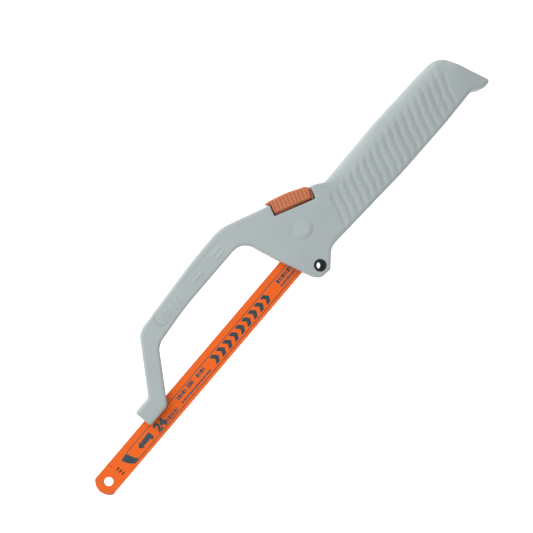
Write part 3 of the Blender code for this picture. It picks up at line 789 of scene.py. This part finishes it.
def turned(centre, profile, sides=48, closed=False, bend=None):
    """Surface of revolution about an axis along Z: profile rows of (radius, height) times angles.

    A point is (r cos a, r sin a, h). A closed profile joins up into a ring; an open one ends in a pole
    at each end. bend(angle, radius, height) may return a changed radius and height.
    """
    profile = np.asarray(profile, float)
    angle = np.linspace(0.0, math.tau, sides, endpoint=False)[None, :]
    radius = np.repeat(profile[:, :1], sides, 1)
    level = np.repeat(profile[:, 1:], sides, 1)
    if bend:
        radius, level = bend(angle, radius, level)
    x, y = centre[0] + radius * np.cos(angle), centre[1] + radius * np.sin(angle)
    points = np.stack([x, y, level], axis=-1).reshape(-1, 3)
    index = np.arange(len(points)).reshape(len(profile), sides)
    if closed:
        index = np.vstack([index, index[:1]])
    faces = between_rows(index)
    if closed:
        return points, faces
    poles = [[*centre, level[0].mean()], [*centre, level[-1].mean()]]
    first = np.column_stack([np.full(sides, len(points)), np.roll(index[0], -1), index[0]])
    last = np.column_stack([np.full(sides, len(points) + 1), index[-1], np.roll(index[-1], -1)])
    return np.vstack([points, poles]), faces + first.tolist() + last.tolist()


def merged(shapes):
    """Several (points, faces) shapes as one."""
    points, faces, count = [], [], 0
    for spots, sides in shapes:
        points.append(spots)
        faces += [[int(corner) + count for corner in side] for side in sides]
        count += len(spots)
    return np.vstack(points), faces


# %% One Boolean for many cutters


def laid(packed):
    """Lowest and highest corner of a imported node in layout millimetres."""
    low, high = box_mm(packed)
    return low - LAYOUT, high - LAYOUT


def across(corners, half):
    """A straight-walled block through the thickness, half wide to either side of the joint."""
    corners = np.asarray(corners, float)
    return plate([corners], [], height(MID_Z - half), height(MID_Z + half))


def rectangle(left, low, right, high):
    return [(left, low), (right, low), (right, high), (left, high)]


def carve(piece, shapes, operation="DIFFERENCE"):
    """Cuts the shapes from a piece, or joins them to it, closes any sliver left open and keeps the mesh."""
    tools = bpy.data.collections.new("tools")
    material = piece.data.materials[0]
    for number, shape in enumerate(shapes):
        tools.objects.link(add_piece(f"tool_{number}", *shape, material, quiet=True))
    cut = piece.modifiers.new("carve", "BOOLEAN")
    cut.operation = operation
    cut.operand_type = "COLLECTION"
    cut.collection = tools
    cut.solver = "EXACT"
    result = bpy.data.meshes.new_from_object(piece.evaluated_get(bpy.context.evaluated_depsgraph_get()))
    piece.modifiers.clear()
    piece.data = result
    for tool in list(tools.objects):
        bpy.data.objects.remove(tool)
    bpy.data.collections.remove(tools)
    net = bmesh.new()
    net.from_mesh(result)
    bmesh.ops.holes_fill(net, edges=net.edges, sides=4)
    net.to_mesh(result)
    net.free()
    result.shade_smooth()
    result.set_sharp_from_angle(angle=SHARP)
    pairs = np.empty(len(result.loops), int)
    result.loops.foreach_get("edge_index", pairs)
    print(piece.name, "carved:", len(result.polygons), "faces, open edges:",
          int((np.bincount(pairs) != 2).sum()))


# %% Shapes of the pockets
CLEAR = 0.3
SLOT_HALF = 0.675
CAVITY_HALF = 2.7
OUTSIDE = 1.0
APART = 0.01
SCREW_SHANK = 1.1
SCREW_HEAD = 1.6
EYELET_FLANGE = 0.5
FLANGE_STEP = 0.6
STEP_DROP = 0.2


def middle_of(packed):
    low, high = laid(packed)
    return (low[:2] + high[:2]) / 2


def pocket(packed, half, low=None, high=None):
    """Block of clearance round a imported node, with its own half width."""
    below, above = laid(packed)
    return across(rectangle(below[0] - CLEAR, below[1] - CLEAR if low is None else low,
                            above[0] + CLEAR, above[1] + CLEAR if high is None else high), half)


def drilled(packed):
    """Round hole through the saw about a packed pin, with clearance all round."""
    low, high = laid(packed)
    radius = (high[0] - low[0]) / 2 + CLEAR
    return turned(middle_of(packed), [(radius, low[2] - CLEAR), (radius, high[2] + CLEAR)], 32)


def counterbore(packed):
    """Stepped hole for a screw: head room from the right face, then room for the shank."""
    low, high = laid(packed)
    head = (high[0] - low[0]) / 2 + CLEAR
    shank = SCREW_SHANK + CLEAR
    neck = low[2] + SCREW_HEAD + CLEAR
    return turned(middle_of(packed), [(head, -OUTSIDE), (head, neck), (shank, neck + APART),
                                      (shank, high[2] + CLEAR)], 40)


def eyelet_seat():
    """Hole for the eyelet's tube with a wider pocket for the flange on either face."""
    low, high = laid("hanging_eyelet")
    flange = (high[0] - low[0]) / 2 + CLEAR
    tube = flange - FLANGE_STEP
    depth = low[2] + EYELET_FLANGE + CLEAR
    top = 2 * MID_Z
    return turned(middle_of("hanging_eyelet"), [
        (flange, -OUTSIDE), (flange, depth), (tube, depth + STEP_DROP), (tube, top - depth - STEP_DROP),
        (flange, top - depth), (flange, top + OUTSIDE)], 64)


# %% Cut the pockets
LEVER_LOW, LEVER_HIGH = laid("cam_lever")
SCREW_NODES = sorted(name for name in frame["nodes"] if "screw" in name)
LEDGE = BACK_Y + CLEAR + 1.3
LEDGE_FROM = LEVER_LOW[0] + 4.7
LEDGE_TO = LEVER_LOW[0] + 7.8
notch_floor = on_button([NOTCH_FRONT, NOTCH_REAR], NOTCH_FLOOR)
floor_slope = np.diff(notch_floor[:, 1]) / np.diff(notch_floor[:, 0])
cavity_front, cavity_back = LEVER_LOW[0] - 4 * CLEAR, LEVER_HIGH[0] + 3 * CLEAR
lug_front = middle_of("button_pin")[0] - 3.0


def above_floor(x):
    """Height just above the notch's floor, so that the lock's hollow opens into the notch."""
    return float(notch_floor[0, 1] + (x - notch_floor[0, 0]) * floor_slope[0]) + 0.6


channel_high = laid("blade_channel")[1]
channel_half = channel_high[2] - MID_Z + CLEAR
slot_front = laid("mouth_pin")[0][0] - 18.5
pockets = [
    across(rectangle(slot_front, -BACK_Y - CLEAR, channel_high[0] + CLEAR, BACK_Y + CLEAR), SLOT_HALF),
    across(rectangle(FOOT_X - OUTSIDE, -BACK_Y, 0.0, BACK_Y + CLEAR), SLOT_HALF),
    pocket("blade_channel", channel_half),
    pocket("foot_guide", channel_half, low=-BACK_Y),
    across([(cavity_front, BACK_Y), (LEDGE_FROM, BACK_Y), (LEDGE_TO, LEDGE), (cavity_back, LEDGE),
            (cavity_back, above_floor(cavity_back)), (lug_front, above_floor(lug_front))], CAVITY_HALF),
    across([on_button(*spot) for spot in ((17.0, -3.0), (22.9, -3.0), (22.9, 0.0), (17.0, 0.0))],
           CAVITY_HALF - APART),
    *(drilled(name) for name in ("lever_pin", "button_pin", "mouth_pin")),
    *(counterbore(name) for name in SCREW_NODES),
    eyelet_seat()]
for cover, packed in ((left_cover, "left_shell"), (right_cover, "right_shell")):
    carve(cover, pockets)
    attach(cover, "frame")
    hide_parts(packed)

# %% [markdown]
# ## The blade
#
# A hacksaw blade is a strip of hardened steel with a hole at each end and fine teeth along one edge, set
# in a gentle wave so that the cut is wider than the strip. The plate helper makes it: the teeth are in
# its outline, and the wave moves both of its heights together near the toothed edge.

# %% Make the toothed blade
INCH = 25.4
TEETH_PER_INCH = 24
TOOTH_DEPTH = 0.4
TOOTH_PITCH = INCH / TEETH_PER_INCH
PLAIN_END = 1.0
BLADE_END_R = 7.8
HOLES_APART = 250.0
HOLE_R = 2.4
SET_WAVE = 0.2
SET_LENGTH = 8 * TOOTH_PITCH
SET_ZONE = (-BACK_Y + 0.2, -BACK_Y + 1.8)
BLADE_HALF = (blade_high[2] - blade_low[2]) / 2
hole_places = [((BLADE_TIP + BLADE_REAR) / 2 + side * HOLES_APART / 2, 0.0) for side in (-1, 1)]


def blade_outline():
    """Round ends of radius R, a straight back and raked teeth: a steep front and a long back each."""
    reach = math.asin(BACK_Y / BLADE_END_R)
    turn = np.linspace(-reach, reach, 17)
    rear = np.column_stack([BLADE_REAR - BLADE_END_R + BLADE_END_R * np.cos(turn),
                            BLADE_END_R * np.sin(turn)])
    tip = (BLADE_TIP + BLADE_REAR, 0.0) + rear * (-1.0, 1.0)
    first = tip[0, 0] + PLAIN_END
    count = int((rear[0, 0] - PLAIN_END - first) / TOOTH_PITCH)
    tooth = first + np.arange(count)[:, None] * TOOTH_PITCH + np.array([0.0, 0.25, 0.5]) * TOOTH_PITCH
    level = -BACK_Y + np.array([0.0, 1.0, 0.8]) * TOOTH_DEPTH
    teeth = np.column_stack([tooth.ravel(), np.tile(level, count)])
    along = np.arange(rear[-1, 0] - 2.0, tip[-1, 0] + 1.0, -2.0)
    back = np.column_stack([along, np.full(len(along), BACK_Y)])
    return np.vstack([teeth, [[first + count * TOOTH_PITCH, -BACK_Y]], rear, back, tip[::-1]])


def tooth_set(places):
    """Sideways wave of the toothed edge, faded to nothing before the printed border."""
    return SET_WAVE * np.sin(math.tau * places[:, 0] / SET_LENGTH) * (1.0 - ease(places[:, 1], *SET_ZONE))


blade_edge = blade_outline()
blade_net = np.vstack([grid(BLADE_TIP + 6.0, BLADE_REAR - 6.0, -BACK_Y + 0.9, -BACK_Y + 2.0, 1.06),
                       grid(BLADE_TIP + 3.0, BLADE_REAR - 3.0, -2.8, BACK_Y - 0.8, 3.0)])
near_hole = [np.hypot(*(blade_net - place).T) < HOLE_R + 0.7 for place in hole_places]
blade_net = blade_net[~(near_hole[0] | near_hole[1])]
points, faces = plate([blade_edge, *(circle(place, HOLE_R) for place in hole_places)], blade_net,
                      lambda places: MID_Z - BLADE_HALF + tooth_set(places),
                      lambda places: MID_Z + BLADE_HALF + tooth_set(places))
hacksaw_blade = add_piece("hacksaw_blade", points, faces, blade_enamel)
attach(hacksaw_blade, "blade")
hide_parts("blade")

# %% [markdown]
# ### Printing on the blade
#
# Blades are printed by a roller with ink that stands a hair above the enamel: a border, an arrow towards
# the end that faces away from the hand, the number of teeth to the inch, the length, and chevrons and
# bars in place of words. It is made of thin flat solids. The reverse side carries the same print,
# turned over about the blade's length.

# %% Shapes of ink
INK = 0.02


def flat(corners):
    """A patch of ink over a polygon, sunk a little into the enamel so that no gap shows."""
    return plate([np.asarray(corners, float)], [], height(-INK), height(INK))


def bar(left, right, low, high):
    return flat(rectangle(left, low, right, high))


def dashes(left, right, low, high, widths, gap=0.45):
    """A row of small bars whose widths repeat a list, in place of small print."""
    row, x, number = [], left, 0
    while x + widths[number % len(widths)] < right:
        width = widths[number % len(widths)]
        row.append(bar(x, x + width, low, high))
        x += width + gap
        number += 1
    return row


def figures(text, left, low, tall, bold):
    """Digits of the built-in typeface as thin closed solids, with a given lower left corner and height."""
    curve = bpy.data.curves.new(text, "FONT")
    curve.body = text
    curve.extrude = 1.0
    curve.offset = bold
    holder = bpy.data.objects.new(text, curve)
    bpy.context.scene.collection.objects.link(holder)
    mesh = bpy.data.meshes.new_from_object(holder.evaluated_get(bpy.context.evaluated_depsgraph_get()))
    net = bmesh.new()
    net.from_mesh(mesh)
    bmesh.ops.remove_doubles(net, verts=net.verts, dist=WELD)
    spots = np.array([tuple(corner.co) for corner in net.verts])
    sides = [[corner.index for corner in side.verts] for side in net.faces]
    net.free()
    bpy.data.objects.remove(holder)
    scale = tall / np.ptp(spots[:, 1])
    spots[:, :2] = (spots[:, :2] - spots[:, :2].min(0)) * scale + (left, low)
    spots[:, 2] *= INK
    return spots, sides


# %% Lay out the print
BORDER = (-49.6, 96.0, -4.35, 2.75)
HALF_LINE = 0.19
CHEVRON_STEP = 5.2
left, right, low, high = BORDER
print_shapes = [
    bar(left, right, high - HALF_LINE, high + HALF_LINE),
    bar(left + 2.4, right, low - HALF_LINE, low + HALF_LINE),
    flat([(-54.3, 2.1), (-53.6, -0.4), (-52.6, -2.3), (-50.6, -4.6), (-47.2, -4.6), (-48.6, -2.0),
          (-49.3, 0.4), (-49.7, 2.6), (-52.0, 2.6)]),
    flat([(-43.4, -0.8), (-41.0, -3.0), (-41.0, -2.0), (-35.6, -2.0), (-35.2, -3.1), (-33.4, -3.1),
          (-33.4, 1.0), (-41.0, 0.6), (-41.0, 1.5)]),
    *dashes(-23.2, -13.4, -3.6, -1.6, (0.9, 0.5, 1.1, 0.5)),
    *dashes(-10.2, -3.0, -0.4, 1.6, (0.7, 1.4)),
    *dashes(5.4, 13.2, -0.4, 1.6, (1.6, 0.7)),
    *dashes(-10.2, 13.2, -3.3, -2.1, (0.8, 0.5, 1.0, 0.8), 0.35),
    *(flat([(x, 1.9), (x + 2.7, 1.9), (x + 4.6, -0.75), (x + 2.7, -3.4), (x, -3.4), (x + 1.9, -0.75)])
      for x in np.arange(17.2, 60.0, CHEVRON_STEP)),
    *dashes(71.5, 96.0, -0.7, 1.6, (1.5, 0.8, 0.5)),
    *dashes(71.5, 96.0, -3.1, -1.7, (0.8, 0.5, 1.0), 0.35),
    figures("24", -30.0, -3.8, 5.4, 0.05),
    figures("250", -2.1, -0.5, 2.4, 0.06)]
mark_shapes = [bar(-60.35, -60.15, 3.3, 6.3), *(bar(-59.8, -57.7, y, y + 0.8) for y in (-3.3, -1.5, 0.3))]


def both_sides(shapes):
    """Ink on the left face, and the same ink turned half round the blade's centre line."""
    points, faces = merged(shapes)
    front = points + (0.0, 0.0, MID_Z + BLADE_HALF)
    back = points * (1.0, -1.0, -1.0) + (0.0, 0.0, MID_Z - BLADE_HALF)
    return merged([(front, faces), (back, faces)])


for name, shapes, ink in (("blade_print", print_shapes, print_ink), ("batch_mark", mark_shapes, mark_ink)):
    printed = add_piece(name, *both_sides(shapes), ink)
    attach(printed, "blade")

# %% [markdown]
# ## The lock button
#
# The button is a moulded cap across the whole thickness of the saw, crowned along its length and ribbed
# for the thumb. It is a plate too, drawn in its own slanting directions: along its underside and above
# it. A warp presses the ribs into the crown and the faces carry the same wave, so the ribs run round the
# edge. Four blocks are joined on underneath: a core that fills the notch between the faces, a skirt that
# closes the gap below it, the lug for its pin and the stem that pushes the lever.

# %% Heights of the button
BUTTON_LENGTH = 21.4
BUTTON_TALL = 8.3
RIB_STEP = 2.05
CROWN_DIP = 0.36
FACE_DIP = 0.34
BUTTON_ROUND = 1.1
button_low, button_high = laid("lock_button")
BUTTON_HALF = (button_high[2] - button_low[2]) / 2
button_corners = [
    (0.0, 0.0, 0.6), (BUTTON_LENGTH, 0.0, 1.0), (BUTTON_LENGTH + 0.9, BUTTON_TALL - 2.6, 1.1),
    (BUTTON_LENGTH - 1.0, BUTTON_TALL - 1.2, 1.2), (BUTTON_LENGTH * 0.45, BUTTON_TALL - 0.25, 60.0),
    (-1.0, BUTTON_TALL - 1.0, 1.0), (-2.3, BUTTON_TALL - 2.3, 0.6), (-0.1, BUTTON_TALL - 2.9, 0.9)]


def button_wave(along):
    """0 on a rib and 1 in a groove, faded out at both ends of the button."""
    ends = ease(along, 0.6, 1.6) * (1.0 - ease(along, BUTTON_LENGTH - 1.6, BUTTON_LENGTH - 0.4))
    return swell(along, 0.9, RIB_STEP) ** 1.3 * ends


def pressed(places):
    """Moves points of the button's side view down into the grooves of its crown."""
    along, above = np.asarray(places, float).T
    dip = CROWN_DIP * button_wave(along) * ease(above, BUTTON_TALL - 3.3, BUTTON_TALL - 1.2)
    return np.column_stack([along, above - dip])


def button_half(places):
    """Half width of the button: rolled over at its edge and grooved on its faces."""
    inward = edge_distance(places, button_edge)
    above = places[:, 1]
    fade = ease(inward, 0.2, 1.1) * (1.0 - 0.6 * ease(above, 5.2, 7.2)) * ease(above, 0.6, 1.8)
    return BUTTON_HALF - rolled(inward, BUTTON_ROUND) - FACE_DIP * button_wave(places[:, 0]) * fade


# %% Make the button's cap
BUTTON_STEP = 0.3
button_edge = pressed(rounded(button_corners, 0.0, BUTTON_STEP, BUTTON_STEP))
button_rings = [pressed(rounded(button_corners, inset, BUTTON_STEP, BUTTON_STEP))
                for inset in (0.05, 0.16, 0.34, 0.6)]
button_net = grid(-1.5, BUTTON_LENGTH + 1.0, 0.4, BUTTON_TALL, BUTTON_STEP)
button_net = button_net[inside(button_net, button_edge)]
button_net = button_net[edge_distance(button_net, button_edge) > 0.8]
points, faces = plate([button_edge], button_net, lambda places: MID_Z - button_half(places),
                      lambda places: MID_Z + button_half(places), button_rings)
points[:, :2] = on_button(points[:, 0], points[:, 1])
thumb_button = add_piece("thumb_button", points, faces, button_plastic)

# %% Join its core, skirt, lug and stem
LUG_X = 5.0
LUG_Y = -3.4
LUG_R = 2.4
LUG_BORE_R = 1.25
STEM_X = 13.6
STEM_HALF = 1.5
CORE_HALF = 7.2
SKIRT_LOW = -1.8
LINKAGE_HALF = LEVER_HIGH[2] - MID_Z
turn = np.linspace(math.pi, math.tau, 21)
lug = [*on_button(LUG_X + LUG_R * np.cos(turn), LUG_Y + LUG_R * np.sin(turn)),
       on_button(LUG_X + LUG_R, 1.0), on_button(LUG_X - LUG_R, 1.0)]
core = [on_button(*spot) for spot in (
    (0.4, 1.2), (0.4, -0.75), (6.0, -0.75), (BUTTON_LENGTH, -0.3), (BUTTON_LENGTH + 1.4, 0.3),
    (BUTTON_LENGTH + 1.5, 5.0), (BUTTON_LENGTH - 1.0, 5.6))]
skirt = [on_button(*spot) for spot in rectangle(0.5, SKIRT_LOW, BUTTON_LENGTH + 0.9, 0.8)]
stem_x, stem_top = on_button(STEM_X, 0.0)[0], on_button(STEM_X, 2.0)[1]
stem = rectangle(stem_x - STEM_HALF, LEVER_HIGH[1] + CLEAR, stem_x + STEM_HALF, stem_top)
carve(thumb_button, [across(core, CORE_HALF), across(skirt, LINKAGE_HALF - 2 * APART),
                     across(lug, LINKAGE_HALF), across(stem, LINKAGE_HALF - APART)], "UNION")
bore = [(LUG_BORE_R, MID_Z - CAVITY_HALF), (LUG_BORE_R, MID_Z + CAVITY_HALF)]
carve(thumb_button, [turned(middle_of("button_pin"), bore, 36)])
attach(thumb_button, "button")
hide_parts("lock_button")

# %% [markdown]
# ## Turned and wound parts
#
# The eyelet, the screws and the spring are round, so each is a profile carried round an axis or along a
# path. The eyelet's flanges are curled over its tube like a rolled rivet. A screw's cross and thread are
# changes to the height and the radius of its turned profile. The spring's wire follows a helix whose
# rise fades at both ends, as in a coil with closed ends.

# %% Make the eyelet
eyelet_low, eyelet_high = laid("hanging_eyelet")
EYELET_OUT = (eyelet_high[0] - eyelet_low[0]) / 2
EYELET_BORE = 1.95
TUBE_R = 2.6
CURL_GAP = 0.3
TUBE_GAP = 0.05


def curled(end, side):
    """Half ring from the bore over the flange's crown: an ellipse between bore and outer radius."""
    sweep = np.linspace(0.0, math.pi, 13)
    centre = (EYELET_BORE + EYELET_OUT) / 2
    reach = (EYELET_OUT - EYELET_BORE) / 2
    return np.column_stack([centre - side * reach * np.cos(sweep),
                            end - np.sin(sweep) * EYELET_FLANGE * side])


top, bottom = eyelet_high[2] - EYELET_FLANGE, eyelet_low[2] + EYELET_FLANGE
lower = curled(bottom, 1.0)[::-1]
upper = curled(top, -1.0)
ring_profile = np.vstack([
    lower, [(EYELET_BORE, bottom + CURL_GAP), (EYELET_BORE, top - CURL_GAP)],
    upper[::-1], [(TUBE_R, top - TUBE_GAP), (TUBE_R, bottom + TUBE_GAP)]])
ring = turned(middle_of("hanging_eyelet"), ring_profile, 64, True)
hanging_ring = add_piece("hanging_ring", *ring, black_nickel)
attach(hanging_ring, "frame")
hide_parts("hanging_eyelet")

# %% Make the screws
THREAD_PITCH = 1.0
THREAD_DEPTH = 0.16
CROSS_ARM = 1.15
CROSS_HALF = 0.28
CROSS_DEEP = 0.9
CROSS_SOFT = (-0.06, 0.06)


def make_screw(number, packed):
    """Dome head with a cross, then a threaded shank: r - depth * tooth(height / pitch - angle / tau)."""
    low, high = laid(packed)
    head_r = (high[0] - low[0]) / 2
    under = low[2] + SCREW_HEAD
    across_head = np.linspace(0.12, head_r - 0.3, 12)
    dome = np.column_stack([across_head, low[2] + 0.3 * (across_head / head_r) ** 2])
    rim = [(head_r - 0.08, low[2] + 0.42), (head_r, low[2] + 0.62),
           (head_r, under - 0.1), (head_r - 0.1, under)]
    levels = np.arange(under + 0.02, high[2] - 0.9, THREAD_PITCH / 6)
    shank = np.column_stack([np.full(len(levels), SCREW_SHANK), levels])
    tip = [(SCREW_SHANK - 0.25, high[2] - 0.5), (0.4, high[2] - 0.02), (0.05, high[2])]

    def bend(angle, radius, level):
        x, y = np.abs(radius * np.cos(angle)), np.abs(radius * np.sin(angle))
        arm = np.maximum(ease(CROSS_HALF - y, *CROSS_SOFT) * ease(CROSS_ARM - x, *CROSS_SOFT),
                         ease(CROSS_HALF - x, *CROSS_SOFT) * ease(CROSS_ARM - y, *CROSS_SOFT))
        deep = CROSS_DEEP * (1.0 - 0.55 * radius / CROSS_ARM)
        level = level + np.where(level < low[2] + 0.35, arm * deep, 0.0)
        tooth = np.abs((level / THREAD_PITCH - angle / math.tau) % 1.0 * 2.0 - 1.0)
        on_shank = (radius > SCREW_SHANK - 0.05) * (radius < head_r - 0.5)
        threaded = ease(level, under + 0.4, under + 1.2) * on_shank
        return radius - THREAD_DEPTH * tooth * threaded, level

    profile = np.vstack([dome, rim, shank, tip])
    made = add_piece(f"screw_{number}", *turned(middle_of(packed), profile, 40, bend=bend), screw_steel)
    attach(made, "frame")
    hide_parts(packed)


for number, packed in enumerate(SCREW_NODES, 1):
    make_screw(number, packed)

# %% Wind the spring
spring_low, spring_high = laid("lock_spring")
WIRE_R = 0.3
WIRE_SIDES = 12
TURNS = 4
STEPS_PER_TURN = 24
COIL_R = 1.5


def wound(low, high, centre):
    """Wire of radius w about the path (R cos a, y, R sin a), where y rises slowly at either end."""
    share = np.linspace(0.0, 1.0, TURNS * STEPS_PER_TURN + 1)
    angle = math.tau * TURNS * share
    rise = low + (high - low) * (0.35 * share + 0.65 * ease(share, 0.0, 1.0))
    path = np.column_stack([centre[0] + COIL_R * np.cos(angle), rise, centre[1] + COIL_R * np.sin(angle)])
    along = np.gradient(path, axis=0)
    along /= np.linalg.norm(along, axis=1)[:, None]
    outward = np.column_stack([np.cos(angle), np.zeros_like(angle), np.sin(angle)])
    beside = np.cross(along, outward)
    sweep = np.linspace(0.0, math.tau, WIRE_SIDES, endpoint=False)
    ring = outward[:, None] * np.cos(sweep)[None, :, None] + beside[:, None] * np.sin(sweep)[None, :, None]
    return path[:, None] + WIRE_R * ring


wire = wound(spring_low[1] + WIRE_R, spring_high[1] - WIRE_R, (middle_of("lock_spring")[0], MID_Z))
rows, sides = wire.shape[:2]
index = np.arange(rows * sides).reshape(rows, sides)
faces = between_rows(index)
faces += [index[0][::-1].tolist(), index[-1].tolist()]
coil_spring = add_piece("coil_spring", wire.reshape(-1, 3), faces, hard_steel)
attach(coil_spring, "frame")
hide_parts("lock_spring")
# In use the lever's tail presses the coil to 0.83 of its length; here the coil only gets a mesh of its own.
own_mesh(coil_spring)

# %% [markdown]
# ## Floor
#
# The saw lies as on a light table: clear glass, and pale paper that glows a little just below it. That
# keeps the ground white and the shadows faint. The paper is only for the picture.

# %% Floor
FLOOR_HALF = 3.0
FLOOR_DROP = 15.0
FLOOR_GLOW = 0.65
floor_mesh = bpy.data.meshes.new("floor")
floor_mesh.from_pydata([(x * FLOOR_HALF, y * FLOOR_HALF, -FLOOR_DROP * MM)
                        for x, y in ((-1, -1), (1, -1), (1, 1), (-1, 1))], [], [(0, 1, 2, 3)])
floor_mesh.materials.append(floor_paper)
glow = floor_paper.node_tree.nodes["Principled BSDF"].inputs
glow["Emission Color"].default_value = (1.0, 1.0, 1.0, 1.0)
glow["Emission Strength"].default_value = FLOOR_GLOW
floor = bpy.data.objects.new("floor", floor_mesh)
bpy.context.scene.collection.objects.link(floor)
